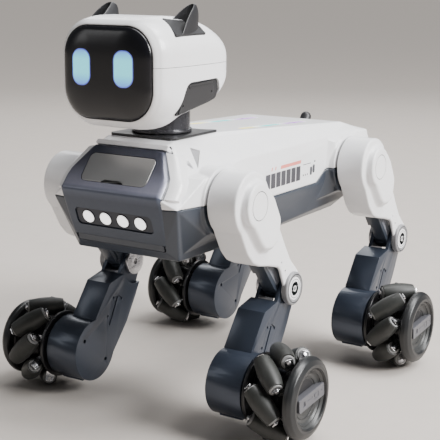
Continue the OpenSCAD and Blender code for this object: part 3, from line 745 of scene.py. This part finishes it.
def print_mark(name, outlines, material, side):
    """Flat marks given as outlines in the Y-Z plane, laid on the flank."""
    bm = bmesh.new()
    for outline in outlines:
        bm.faces.new([bm.verts.new((side * 62, p.x, p.y)) for p in outline])
    o = on_trunk(name, bm, material)
    wrap = o.modifiers.new("wrap", "SHRINKWRAP")
    wrap.target = top_shell
    wrap.wrap_method = "PROJECT"
    wrap.use_project_x = True
    wrap.use_project_y = wrap.use_project_z = False
    wrap.use_negative_direction = wrap.use_positive_direction = True
    wrap.offset = PRINT_LIFT * MM
    return baked(o)


def slanted(y, z, w, h, lean=0.0, radius=0.6):
    return rounded([(y, z), (y + w, z), (y + w + lean, z + h), (y + lean, z + h)], radius, 3)


for side, tag in SIDES:
    blocks = [slanted(-26.5 + 7.7 * k, 158.6, 6.6, 11.2) for k in range(7)]
    blocks += [slanted(42.0, 160.2, 3.6, 6.6, 0, 1.4), slanted(46.4, 161.4, 3.6, 6.6, 0, 1.4)]
    blocks += [panel(1.5, 1.5, 0.7, 31.5 + 3.2 * k, 161.6, 3) for k in range(3)]
    blocks += [slanted(30.5, 169.6, 12.5, 0.5, 0, 0.1), panel(2.4, 1.1, 0.4, 49.5, 170.4, 3)]
    print_mark("flank_blocks_" + tag, blocks, INK, side)
    coral = [slanted(-5, 171.6, 31.6, 2.6, 0.8, 0.3), slanted(-13.4, 171.8, 1.4, 2.6, 1.0, 0.2),
             slanted(-18.6, 171.8, 1.4, 2.6, 1.0, 0.2)]
    print_mark("flank_bars_" + tag, coral, CORAL, side)

# ---- head

HEAD_ROWS = [  # y, half width, top, bottom, top radius, bottom radius
    (-144.2, 36.2, 280.7, 219.0, 20, 21), (-144.5, 36.9, 281.3, 218.4, 20.6, 21.7),
    (-143.4, 38.3, 282.4, 216.9, 21.5, 23), (-141.8, 39.5, 283.4, 215.5, 22.3, 24.5),
    (-139.8, 40.8, 284.3, 214.2, 23, 25.5), (-136, 42.0, 285.2, 213.2, 23.5, 25),
    (-131, 43.0, 285.9, 212.8, 24, 23.5), (-126, 43.7, 286.2, 213.2, 24, 22),
    (-122.5, 44.0, 286.3, 214.8, 24, 20), (-119, 44.1, 286.4, 218.6, 24, 15),
    (-115, 44.2, 286.4, 221.4, 24, 11), (-108, 44.2, 286.2, 223.4, 23.5, 8.5),
    (-98, 44.1, 285.6, 225.6, 22.5, 7.5), (-90, 43.8, 284.2, 227.2, 20.5, 7),
    (-82, 43.5, 281.8, 229.2, 19, 7), (-75, 43.1, 279.3, 231.8, 18.5, 7),
    (-69, 42.2, 276.6, 235.2, 17.5, 7), (-64.6, 40.9, 273.4, 238.8, 15, 7),
    (-61.2, 38.4, 269.6, 242.4, 12, 6.8), (-59.4, 34.5, 264.6, 246, 8, 6), (-58.6, 29, 259, 249.5, 4.6, 4)]
SEAM_Z = 254.5
SEAM_GAP = 0.16
HEAD_WALL = 1.6
FRONT_Y = -144.2


def head_ring(y, half, top, low, top_r, low_r, depth=0.0):
    corners = [(-half, low, low_r), (half, low, low_r), (half, top, top_r), (-half, top, top_r)]
    return [(p.x, y, p.y) for p in inset(filleted(corners, 14), depth)]


def spline(rows, steps):
    """Rows with smooth extra rows between them."""
    out = []
    for k in range(len(rows) - 1):
        r = [rows[max(k - 1, 0)], rows[k], rows[k + 1], rows[min(k + 2, len(rows) - 1)]]
        for j in range(steps):
            t = j / steps
            w = ((-t + 2 * t * t - t ** 3) / 2, (2 - 5 * t * t + 3 * t ** 3) / 2,
                 (t + 4 * t * t - 3 * t ** 3) / 2, (-t * t + t ** 3) / 2)
            out.append(tuple(sum(w[i] * r[i][c] for i in range(4)) for c in range(len(rows[0]))))
    return out + [tuple(rows[-1])]


def sliced(bm, z, keep_above):
    """Cuts an open shape at a height and keeps one side of it."""
    bmesh.ops.bisect_plane(bm, geom=bm.verts[:] + bm.edges[:] + bm.faces[:], plane_co=(0, 0, z),
                           plane_no=(0, 0, 1), clear_inner=keep_above, clear_outer=not keep_above)
    return bm


def head_half(name, node, keep_above, cutters):
    """One moulded half of the head: a thin shell cut at the seam."""
    bm = loft([head_ring(*r) for r in spline(HEAD_ROWS, 3)], (False, True))
    sliced(bm, SEAM_Z + (SEAM_GAP if keep_above else -SEAM_GAP), keep_above)
    o = on_head(name, bm, WHITE, [node])
    thick = o.modifiers.new("wall", "SOLIDIFY")
    thick.thickness = HEAD_WALL * MM
    thick.offset = -1
    thick.use_even_offset = True
    baked(o)
    for cutter in cutters:
        carved(o, moved(cutter, ON_BODY))
    return sharpened(o)


def bar_cut(x0, x1, y0, y1, z0):
    """Cutter for a groove in the crown, from z0 up."""
    return loft([[(x0, y, z0), (x1, y, z0), (x1, y, 290), (x0, y, 290)] for y in (y0, y1)])


EAR_BASE = rounded([(-8.5, -123), (8.5, -126), (8.5, -91), (-2, -92)], 0.8, 4)
EAR_TILT = 39


def ear_place(side):
    """Placement of an ear's base plate on the round of the crown."""
    tilt = Matrix.Rotation(math.radians(EAR_TILT), 4, "Y")
    return mirror(side) @ (Matrix.Translation((34.7, 0, 279.6)) @ tilt)


def ear_seat(side):
    """Cutter for the seat of the base plate, 0.3 mm larger all round."""
    outline = inset(EAR_BASE, -0.3)
    return moved(loft([[(p.x, p.y, w) for p in outline] for w in (-1.4, 9)]), ear_place(side))


CHEEK = filleted([
    (-116, 243.4, 8), (-78, 244.2, 3.5), (-76.4, 236, 5), (-79.3, 230.6, 4), (-89, 228.4, 6),
    (-127, 222.4, 0.8)])
CHEEK_FACE = filleted([
    (-115.4, 242.3, 7.4), (-84.2, 243.1, 3), (-83.0, 232.6, 3), (-90, 229.4, 3), (-125.4, 223.3, 0.8)])
NECK_HOLE_R = 20.3
UPRIGHT = Matrix.Translation((0, NECK_Y, 0)) @ Matrix.Rotation(-math.pi / 2, 4, "Y")
chin_cuts = [moved(plate(inset(CHEEK, -0.3), 39.5, 50, SHARP), mirror(side)) for side, tag in SIDES]
chin_cuts.append(moved(lathe([(180, NECK_HOLE_R), (245, NECK_HOLE_R)]), UPRIGHT))
head_half("head_chin_moulding", "head_lower_shell", False, chin_cuts)
crown_cuts = [ear_seat(side) for side, tag in SIDES]
crown_cuts += [bar_cut(-27, 27, -135.0, -134.5, 284.9), bar_cut(7, 7.5, -134.8, -129.5, 285.1)]
head_half("head_crown_moulding", "head_upper_shell", True, crown_cuts)
# Dark band inside the head across the seam: painted shade that shows through the seam gap as a dark line.
seam_shade = loft([head_ring(*r, depth=1.3) for r in spline(HEAD_ROWS[4:19], 2)])
sliced(sliced(seam_shade, 257, False), 252, True)
on_head("head_seam_shade", seam_shade, PAINTED_SHADE)

VISOR_Z = 249.9
VISOR_RISE = 6.2
VISOR = dense(panel(71.6, 61, 20, 0, VISOR_Z, 14))


def visor_share(x, z):
    """0 in the middle of the visor, 1 on its rim."""
    at = Vector((x, z - VISOR_Z))
    share = 0
    for a, b in zip(VISOR, VISOR[1:] + VISOR[:1]):
        out = Vector(((b - a).y, -(b - a).x))
        share = max(share, at.dot(out) / (a - Vector((0, VISOR_Z))).dot(out))
    return min(share, 1)


def on_visor(x, z, lift=0.0):
    """Point of the visor's pillow-shaped face at (x, z)."""
    return (x, FRONT_Y - VISOR_RISE * math.sqrt(max(0, 1 - visor_share(x, z) ** 4)) - lift, z)


def visor_patch(outline, lift, skirt):
    """Curved plate that follows the visor's face, with its rings closer together near the rim."""
    centre = sum(outline, Vector((0, 0))) / len(outline)
    rings = [[Vector(on_visor(p.x, p.y, lift)) + Vector((0, skirt, 0)) for p in outline]]
    for share in (1, 0.995, 0.985, 0.97, 0.95, 0.925, 0.9, 0.87, 0.83, 0.78, 0.72, 0.65, 0.57, 0.48, 0.38,
                  0.27, 0.15):
        rings.append([on_visor(*(centre + (p - centre) * share), lift) for p in outline])
    return loft(rings)


on_head("visor_window", visor_patch(VISOR, 0.0, 3.2), BLACK_GLOSS, ["visor"])
gasket = [head_ring(FRONT_Y + sink, 36.2 - grow, 280.7 - grow, 219.0 + grow, 20 - grow, 20.6 - grow)
          for grow, sink in ((-0.6, 2.2), (-0.6, 0.3), (0.0, -0.5), (0.5, 0.1), (0.5, 2.2))]
on_head("visor_gasket", loft(gasket, (False, False)), GASKET)
EYE_Z = 253.5
for name, grow, lift, material in (("eye_halos", 0.7, 0.05, EYE_RIM), ("eye_lights", 0.0, 0.12, EYES)):
    eyes = [dense(panel(14.2 + 2 * grow, 22.6 + 2 * grow, 6.2 + grow, x, EYE_Z)) for x in (-17.7, 16.7)]
    eyes = [visor_patch(outline, lift, 0.3) for outline in eyes]
    on_head(name, joined(*eyes), material, ["eye_lamps"])

# Ears: a swept fin, open at the front, standing on a four-sided base plate
EAR_ROWS = [  # height, front edge (inner), front edge (outer), back, half width, centre x, back x
    (-4.5, -125.0, -121.0, -92.0, 7.6, 34.4, 33.8), (-1.5, -122.4, -118.6, -91.2, 7.3, 34.5, 33.6),
    (1.5, -119.4, -116.2, -90.6, 6.9, 34.6, 33.4), (4.5, -116.0, -113.8, -90.1, 6.4, 34.6, 33.4),
    (7.5, -112.2, -110.8, -89.8, 5.8, 34.6, 33.4), (10.5, -108.0, -107.2, -89.8, 5.1, 34.6, 33.4),
    (13.0, -104.0, -103.6, -90.4, 4.3, 34.6, 33.4), (15.0, -100.6, -100.4, -91.6, 3.4, 34.6, 33.5),
    (16.3, -98.0, -98.0, -93.0, 2.3, 34.6, 33.8), (16.9, -96.4, -96.4, -94.4, 1.0, 34.6, 34.2)]
EAR_FOOT_Z = 277.3
EAR_WALL = 0.9
EAR_STEPS = 16


def ear_fin():
    """The left ear's fin: a curved outside, and a hollow inside that is half as deep."""
    loops = []
    for height, inner, outer, back, half, mid, rear in EAR_ROWS:
        z = EAR_FOOT_Z + height
        thin = min(EAR_WALL, half * 0.45)
        outside, inside = [], []
        for k in range(EAR_STEPS + 1):
            angle = math.pi * k / EAR_STEPS
            reach = inner + (outer - inner) * k / EAR_STEPS - back
            bulge = math.sin(angle) ** 0.8
            centre = mid + (rear - mid) * math.sin(angle)
            swing = math.cos(angle)
            outside.append(Vector((centre - half * swing, back + reach * (1 - bulge), z)))
            inside.append(Vector((mid - (half - thin) * swing, back + reach * (1 - 0.5 * bulge), z)))
        loops.append(outside + list(reversed(inside)))
    return loft(loops)


EAR_PLATE = ((-1.2, 0.1), (0.5, 0.0), (0.85, 0.3))  # height, inset
slot_line = rounded([(-111.5, 240.2), (-84.6, 240.9), (-84.6, 241.3), (-111.5, 240.6)], 0.1, 2)
notch = rounded([(-115.4, 242.8), (-114.6, 243.0), (-111.8, 239.4), (-112.5, 239.0)], 0.1, 2)
CHEEK_MARKS = (  # outline, x of its floor
    (slot_line, 42.8), (notch, 42.5), (ring(1.1, 24, -120.4, 228.6), 42.2),
    (ring(1.1, 24, -86.2, 235.6), 42.2))

for side, tag in SIDES:
    base = loft([[(p.x, p.y, w) for p in inset(EAR_BASE, d)] for w, d in EAR_PLATE])
    on_head("ear_base_" + tag, moved(base, ear_place(side)), CHARCOAL, ["ears"])
    fin = moved(ear_fin(), mirror(side))
    fin = on_head("ear_fin_" + tag, fin, CHARCOAL, ["ears"])
    rounds = fin.modifiers.new("round", "SUBSURF")
    rounds.levels = rounds.render_levels = 2
    baked(fin)
    # Darker plate in the cheek's recess around each cheek plate: painted shade in the recess.
    recess = moved(plate(CHEEK, 40.4, 41.9, 0.3), mirror(side))
    on_head("cheek_recess_" + tag, recess, CHARCOAL_SHADE, ["cheek_panels"])
    cheek = moved(plate(CHEEK_FACE, 41.5, 43.1, 0.35), mirror(side))
    cheek = on_head("cheek_plate_" + tag, cheek, CHARCOAL)
    for outline, x in CHEEK_MARKS:
        carved(cheek, moved(moved(plate(outline, x, 44, SHARP), mirror(side)), ON_BODY))

# ---- thighs

# Thigh outlines seen from the side, about the hip axis, as (y, z, fillet)
LOBE = filleted([
    (-15.4, -16.5, 6), (-6, -33, 9), (1.5, -40.8, 8), (10, -44.6, 10), (24, -47.5, 6), (47, -54, 5),
    (53.5, -49.5, 4), (44, -33.5, 0), (32, -13, 0), (19.5, 11.2, 0), (0, 18, 0)])
ARM = filleted([
    (-14.6, -15, 6), (-4, -33, 9), (0.5, -39.5, 7), (8, -42.8, 8), (20, -43.8, 5), (31, -46.5, 8),
    (39, -53.5, 8), (44.6, -66, 4), (50, -76, 6), (58, -80, 6), (68, -72, 6), (66, -60, 5),
    (53.8, -48.5, 20), (43.5, -33, 0), (32, -13.5, 0), (19, 10, 0), (0, 16, 0)])
TONGUE = filleted([
    (-14.5, -1, 8), (-9, -12, 9), (3.4, -27.5, 5), (8.5, -32, 5), (18, -33.5, 5), (27, -29, 5),
    (30, -14, 8), (21, 2, 8), (14.6, 9, 10), (4, 15.2, 10), (-8, 13, 8)])
TONGUE_FACE = ((81, -3.4), (82.6, -2.6), (84.4, -1.2), (86.4, 0.0), (87.6, 1.0), (88.0, 2.0))  # x, inset
DRUM = ring(22.6, 96)
THIGH_IN = 59.6
ARM_IN = 79.8
THIGH_OUT = 82.4
THIGH_WALL = 2
BAR_SLOT = rounded([(30, -41), (63, -41), (63, -60), (30, -60)], 1, 2)
FRAME_BAR = filleted([(25.5, -45.4, 1.6), (34.8, -46.6, 2.2), (48.5, -63.8, 1.6), (44.0, -66.6, 1.6)], 5)
BAR_GROOVE = rounded([(34.2, -52.6), (36.4, -51.2), (45.4, -62.4), (43.4, -64)], 0.8, 3)

# Knee profiles, as (x, radius, fillet)
KNEE_RING = [(80.4, 8.0, 0), (80.4, 12.2, 0.8), (84.9, 12.2, 1.4), (84.9, 9.0, 0.5), (83.9, 8.6, 0)]
KNEE_FACE = [(82, 8.5, 0), (84.7, 8.5, 0.4), (84.7, 1.7, 0.1), (84.0, 1.6, 0.1), (84.0, 0, 0)]
KNEE_SCREW = [(83.6, 1.5, 0), (84.75, 1.5, 0.3), (84.75, 0.7, 0.1), (84.3, 0.6, 0), (84.3, 0, 0)]


def hoop(x0, x1, r0, r1):
    """Flat ring about the X axis."""
    return lathe([(x0, r0), (x1, r0), (x1, r1), (x0, r1)], 72, False)


def thigh_cut(o, outline, x0, x1, place):
    """Cuts an outline drawn about the hip out of a piece, from x0 to x1."""
    carved(o, moved(plate(outline, x0, x1, SHARP), place))


def thigh_solid():
    """Drum, lobe, arm and raised tongue of the thigh, as one overlapping set."""
    return joined(
        plate(DRUM, THIGH_IN, THIGH_OUT, 1.2), plate(LOBE, THIGH_IN, THIGH_OUT, 1.2),
        plate(inset(ARM, 0.1), ARM_IN, THIGH_OUT, 0.7), plate(ring(12.0, 64, *KNEE), ARM_IN, THIGH_OUT, 0.7),
        plate(ring(15.6), 81, 88.0, 1.0),
        loft([[(x, p.x, p.y) for p in inset(TONGUE, depth)] for x, depth in TONGUE_FACE]))


def add_thigh(leg, place):
    """Shell, knee parts and frame of one thigh."""
    thigh = leg + "_thigh"
    shell = add(leg + "_thigh_shell", thigh_solid(), place, WHITE, thigh,
                [leg + "_thigh_cover", leg + "_thigh_housing"])
    softened(shell, 0.62, 9)
    thigh_cut(shell, inset(DRUM, THIGH_WALL), 55, 79.2, place)
    thigh_cut(shell, inset(LOBE, THIGH_WALL), 55, 79.2, place)
    thigh_cut(shell, BAR_SLOT, 55, 79.4, place)
    for y, z in ((40.2, -48.1), (45.6, -55.2)):
        thigh_cut(shell, ring(0.95, 20, y, z), 81.2, 84, place)
    carved(shell, moved(hoop(87.4, 89.5, 9.55, 10.1), place))
    sharpened(shell, 42)
    # Dark ring at the bottom of the hip cap's groove: painted shade in the groove.
    add(leg + "_hip_groove_shade", hoop(87.3, 87.75, 9.6, 10.05), place, PAINTED_SHADE, thigh)

    knee = place @ Matrix.Translation((0, *KNEE))
    add(leg + "_knee_ring", lathe(soft_profile(KNEE_RING)), knee, KNEE_GREY, thigh)
    add(leg + "_knee_face", lathe(soft_profile(KNEE_FACE)), knee, WHITE, thigh)
    # Thin dark ring on the knee face: painted shade standing for a narrow groove.
    add(leg + "_knee_groove_shade", hoop(84.6, 84.76, 6.6, 7.0), knee, PAINTED_SHADE, thigh)
    ticks = [panel(2.4, 0.45, 0.1, 3.4, 1.2), panel(1.2, 0.45, 0.1, -3.6, -0.8)]
    ticks = [plate(outline, 84.5, 84.82, 0.05) for outline in ticks]
    screw = joined(lathe(soft_profile(KNEE_SCREW), 32), *ticks)
    add(leg + "_knee_screw", screw, knee, KNEE_GREY, thigh)

    crisp(leg + "_thigh_frame", SLATE, 0.5)
    bar = plate(FRAME_BAR, 75.8, 76.62, 0.25)
    bar = add(leg + "_frame_bar", bar, place, BAR_LIGHT, thigh)
    thigh_cut(bar, ring(1.8, 28, 31.6, -50.2), 76.33, 79, place)
    thigh_cut(bar, BAR_GROOVE, 76.4, 79, place)


# ---- wheels, drawn about the axle

ROLLERS = 8
ROLLER_AXIS = 26.6  # radius of the circle that the roller axes touch
ROLLER_END = 13.1
TREAD_R = 33.9
BARREL_STEPS = 16
BARREL_FOOT = [(-12.9, 2.2), (-12.9, 3.4), (-ROLLER_END, 4.0)]
ROLLER_CAP = soft_profile([
    (12.4, 4.9, 0), (13.9, 4.7, 0.4), (14.1, 3.6, 0.2), (13.5, 3.2, 0.1), (13.5, 2.0, 0)], 3)
ROLLER_PIN = soft_profile([(-16.1, 0, 0), (-16.1, 1.4, 0.3), (16.1, 1.4, 0.3), (16.1, 0, 0)])
HUB_CORE = soft_profile([
    (88.0, 2.6, 0), (88.0, 25.5, 0.5), (90.3, 25.5, 0.6), (91.5, 20.5, 1.0), (93, 17.2, 1.0), (105, 16.0, 3),
    (117, 17.2, 1.0), (118.2, 21.5, 0.8), (119.7, 22.6, 0.4), (119.8, 2.6, 0)])
HUB_SHAFT = [(67.5, 0), (67.5, 2.5), (89, 2.5), (89, 0)]
HUB_BOWL = soft_profile([
    (119.9, 0, 0), (119.9, 26.6, 0.5), (121.2, 28.6, 1.0), (124.2, 29.0, 2.6), (127.0, 27.3, 2.4),
    (128.5, 23.6, 1.0), (128.4, 21.6, 0.5), (126.6, 20.6, 1.2), (123.8, 17.0, 3), (122.3, 12, 2),
    (122.0, 6, 1), (122.0, 0, 0)], 6)
DISH_R = 20.6
DISH_X = 120.5
GRIP_RELIEF = (  # outline, x of its floor
    (panel(3.6, 3.8, 0.3, -9.0, 0), 126.6), (panel(6.4, 4.6, 1.2, 8.4, 0), 126.9),
    (panel(1.2, 1.2, 0.4, 16.4, 0.4), 126.8), (panel(8.0, 0.7, 0.2, -1.0, 0.6), 126.95))
# Outline of the painted shade on the dish floor, where the cap opens deep inside.
HOLE_SHADE_OUTLINE = filleted([
    (-17.6, 5.1, 1), (16.6, 5.1, 1), (15.2, 8.4, 2), (8, 10.6, 4), (-2, 15.4, 3), (-11.6, 14.0, 4)], 5)


def at_roller(n, lean):
    """Placement of a roller that is drawn along X."""
    return (Matrix.Rotation(TAU * n / ROLLERS, 4, "X") @ Matrix.Translation((WHEEL_X, 0, ROLLER_AXIS))
            @ Matrix.Rotation(math.radians(lean), 4, "Z") @ Matrix.Rotation(math.pi, 4, "Y"))


def barrel():
    """Roller whose outline follows the wheel's round tread."""
    profile = list(BARREL_FOOT)
    for k in range(BARREL_STEPS + 1):
        u = ROLLER_END * (2 * k / BARREL_STEPS - 1)
        profile.append((u, TREAD_R - math.sqrt(ROLLER_AXIS ** 2 + u * u / 2)))
    return lathe(profile + [(-x, r) for x, r in reversed(BARREL_FOOT)], 36)


def bracket(place, end):
    """Bent strip from the hub to one end of a roller pin."""
    tip = place @ Vector((end * 14.9, 0, 0))
    normal = (place.to_3x3() @ Vector((1, 0, 0))).normalized()
    radial = Vector((0, tip.y, tip.z))
    outward = radial.normalized()
    flank = normal.cross(outward).normalized()
    foot_x = 91.2 if tip.x < WHEEL_X else 118.6
    foot = Vector((foot_x, 0, 0)) + outward * 18.5 + (radial - outward * radial.length) * 0.4
    mid = tip - outward * 5.2
    path = [(tip + outward * 2.6, 2.2), (tip + outward * 1.2, 3.0), (tip - outward * 1.5, 3.3), (mid, 3.3),
            (mid.lerp(foot, 0.35), 3.4), (mid.lerp(foot, 0.7), 3.5), (foot, 3.6)]
    loops = []
    for i, (at, half) in enumerate(path):
        ahead = (path[min(i + 1, len(path) - 1)][0] - path[max(i - 1, 0)][0]).normalized()
        across = flank * half
        thick = ahead.cross(flank).normalized() * 0.45
        loops.append([at - across - thick, at + across - thick, at + across + thick, at - across + thick])
    return loft(loops)


def add_rollers(leg, axle, wheel, places):
    """Rollers with their end caps and pins."""
    barrels = [moved(barrel(), place) for place in places]
    caps = [[(end * x, r) for x, r in ROLLER_CAP] for end in (-1, 1)]
    ends = [moved(lathe(cap, 32), place) for place in places for cap in caps]
    pins = [moved(lathe(ROLLER_PIN, 20), place) for place in places]
    add(leg + "_roller_barrels", joined(*barrels), axle, RUBBER, wheel, [leg + "_rollers"])
    add(leg + "_roller_ends", joined(*ends), axle, END_CAP, wheel, [leg + "_rollers"])
    add(leg + "_roller_pins", joined(*pins), axle, STEEL, wheel)


def add_hub(leg, axle, wheel, places):
    """Hub core with the brackets that hold the roller pins."""
    hub = joined(lathe(HUB_CORE, 96), lathe(HUB_SHAFT, 32))
    add(leg + "_hub_core", hub, axle, HUB, wheel, [leg + "_wheel_hub"])
    arms = joined(*[bracket(place, end) for place in places for end in (-1, 1)])
    arms = add(leg + "_roller_brackets", arms, axle, TAB, wheel)
    edge = arms.modifiers.new("edge", "BEVEL")
    edge.width = 0.18 * MM
    edge.segments = 2
    edge.limit_method = "ANGLE"
    baked(arms)
    sharpened(arms, 40)


def add_cap(leg, axle, wheel):
    """Dished hub cap with a grip bar across it."""
    cap = add(leg + "_cap_shell", lathe(HUB_BOWL, 96), axle, CAP, wheel, [leg + "_hub_cap"])
    cap.data.materials.append(DISH)
    for face in cap.data.polygons:
        away = face.center / MM - axle.translation
        if abs(away.x) > DISH_X and away.yz.length < DISH_R:
            face.material_index = 1
    tilt = 5 if leg[1] == "l" else -5
    grip = turned(plate(panel(35.6, 9.8, 1.6, 2.4, 0), 121.2, 127.2, 0.5), "X", tilt)
    grip = add(leg + "_cap_grip", grip, axle, BAR, wheel)
    for outline, floor_x in GRIP_RELIEF:
        carved(grip, moved(turned(plate(outline, floor_x, 128, SHARP), "X", tilt), axle))
    island = plate(panel(4.4, 2.6, 0.8, 8.4, 0), 126.4, 127.25, 0.2)
    add(leg + "_cap_emboss", turned(island, "X", tilt), axle, BAR, wheel)
    # Dark plate on the floor of the dish, above the grip bar: painted shade where the cap opens deep inside.
    hole_shade = plate(HOLE_SHADE_OUTLINE, 121.9, 122.7, 0.2)
    add(leg + "_cap_hole_shade", turned(hole_shade, "X", tilt), axle, PAINTED_SHADE, wheel)


for leg in LEGS:
    place = on_leg(leg)
    add_thigh(leg, place)
    crisp(leg + "_knee_bolt", STEEL, 0.4)
    crisp(leg + "_shank", SLATE_SATIN, 0.5)
    crisp(leg + "_wheel_motor", STEEL, 0.3)
    axle = place @ Matrix.Translation((0, *AXLE))
    places = [at_roller(n, -45 if leg[0] == "f" else 45) for n in range(ROLLERS)]
    add_rollers(leg, axle, leg + "_wheel", places)
    add_hub(leg, axle, leg + "_wheel", places)
    add_cap(leg, axle, leg + "_wheel")

# ---- stage

scene = bpy.context.scene
floor_mesh = bpy.data.meshes.new("floor")
bm = bmesh.new()
bmesh.ops.create_grid(bm, x_segments=8, y_segments=8, size=30)
bm.to_mesh(floor_mesh)
bm.free()
floor = bpy.data.objects.new("floor", floor_mesh)
floor_mesh.materials.append(plastic("floor_pale", (0.52, 0.475, 0.435), 0.7, 300, 0.05, 0.02, specular=0.2))
scene.collection.objects.link(floor)

world = bpy.data.worlds.new("studio")
scene.world = world
world.use_nodes = True
preset(world.node_tree.nodes["Background"], ("Color", (0.92, 0.95, 1.0, 1)), ("Strength", 0.1))


def shining(name, lamp, at, aim):
    """Puts a lamp into the scene, turned towards a point."""
    o = bpy.data.objects.new(name, lamp)
    o.location = at
    o.rotation_euler = (Vector(aim) - Vector(at)).to_track_quat("-Z", "Y").to_euler()
    scene.collection.objects.link(o)


def softbox(name, at, size, power):
    """Rectangular lamp at a place in metres, aimed at the trunk."""
    lamp = bpy.data.lights.new(name, "AREA")
    lamp.shape = "RECTANGLE"
    lamp.size, lamp.size_y = size
    lamp.energy = power
    shining(name, lamp, at, (0, 0, 0.14))


softbox("key", (1.7, 0.25, 1.2), (0.8, 0.8), 82)
softbox("front", (-1.3, -1.3, 1.0), (0.4, 1.1), 3)
softbox("top", (0.1, 0.4, 1.8), (1.0, 1.0), 20)
softbox("rim", (-0.9, 1.4, 1.1), (1.2, 0.8), 10)
sky = bpy.data.lights.new("sky", "SUN")
sky.energy = 2.9
sky.angle = math.radians(25)
shining("sky", sky, (0.5, 0.35, 1.1), (0, 0, 0))

# Camera: its place in metres, and its turn to the left, downward and about its own axis
CAMERA_AT = (0.46279, -0.739295, 0.31425)
yaw, pitch, roll = math.radians(32.48), math.radians(12.27), math.radians(0.36)
ahead = Vector((-math.sin(yaw) * math.cos(pitch), math.cos(yaw) * math.cos(pitch), -math.sin(pitch)))
right = Vector((math.cos(yaw), math.sin(yaw), 0))
up = right.cross(ahead)
camera_data = bpy.data.cameras.new("camera")
camera_data.lens = 92.94
camera = bpy.data.objects.new("camera", camera_data)
camera.matrix_world = Matrix.Translation(CAMERA_AT) @ Matrix((
    right * math.cos(roll) + up * math.sin(roll),
    up * math.cos(roll) - right * math.sin(roll),
    -ahead)).transposed().to_4x4()
scene.collection.objects.link(camera)
scene.camera = camera

for o in MADE:
    even = o.modifiers.new("even", "WEIGHTED_NORMAL")
    even.keep_sharp = True
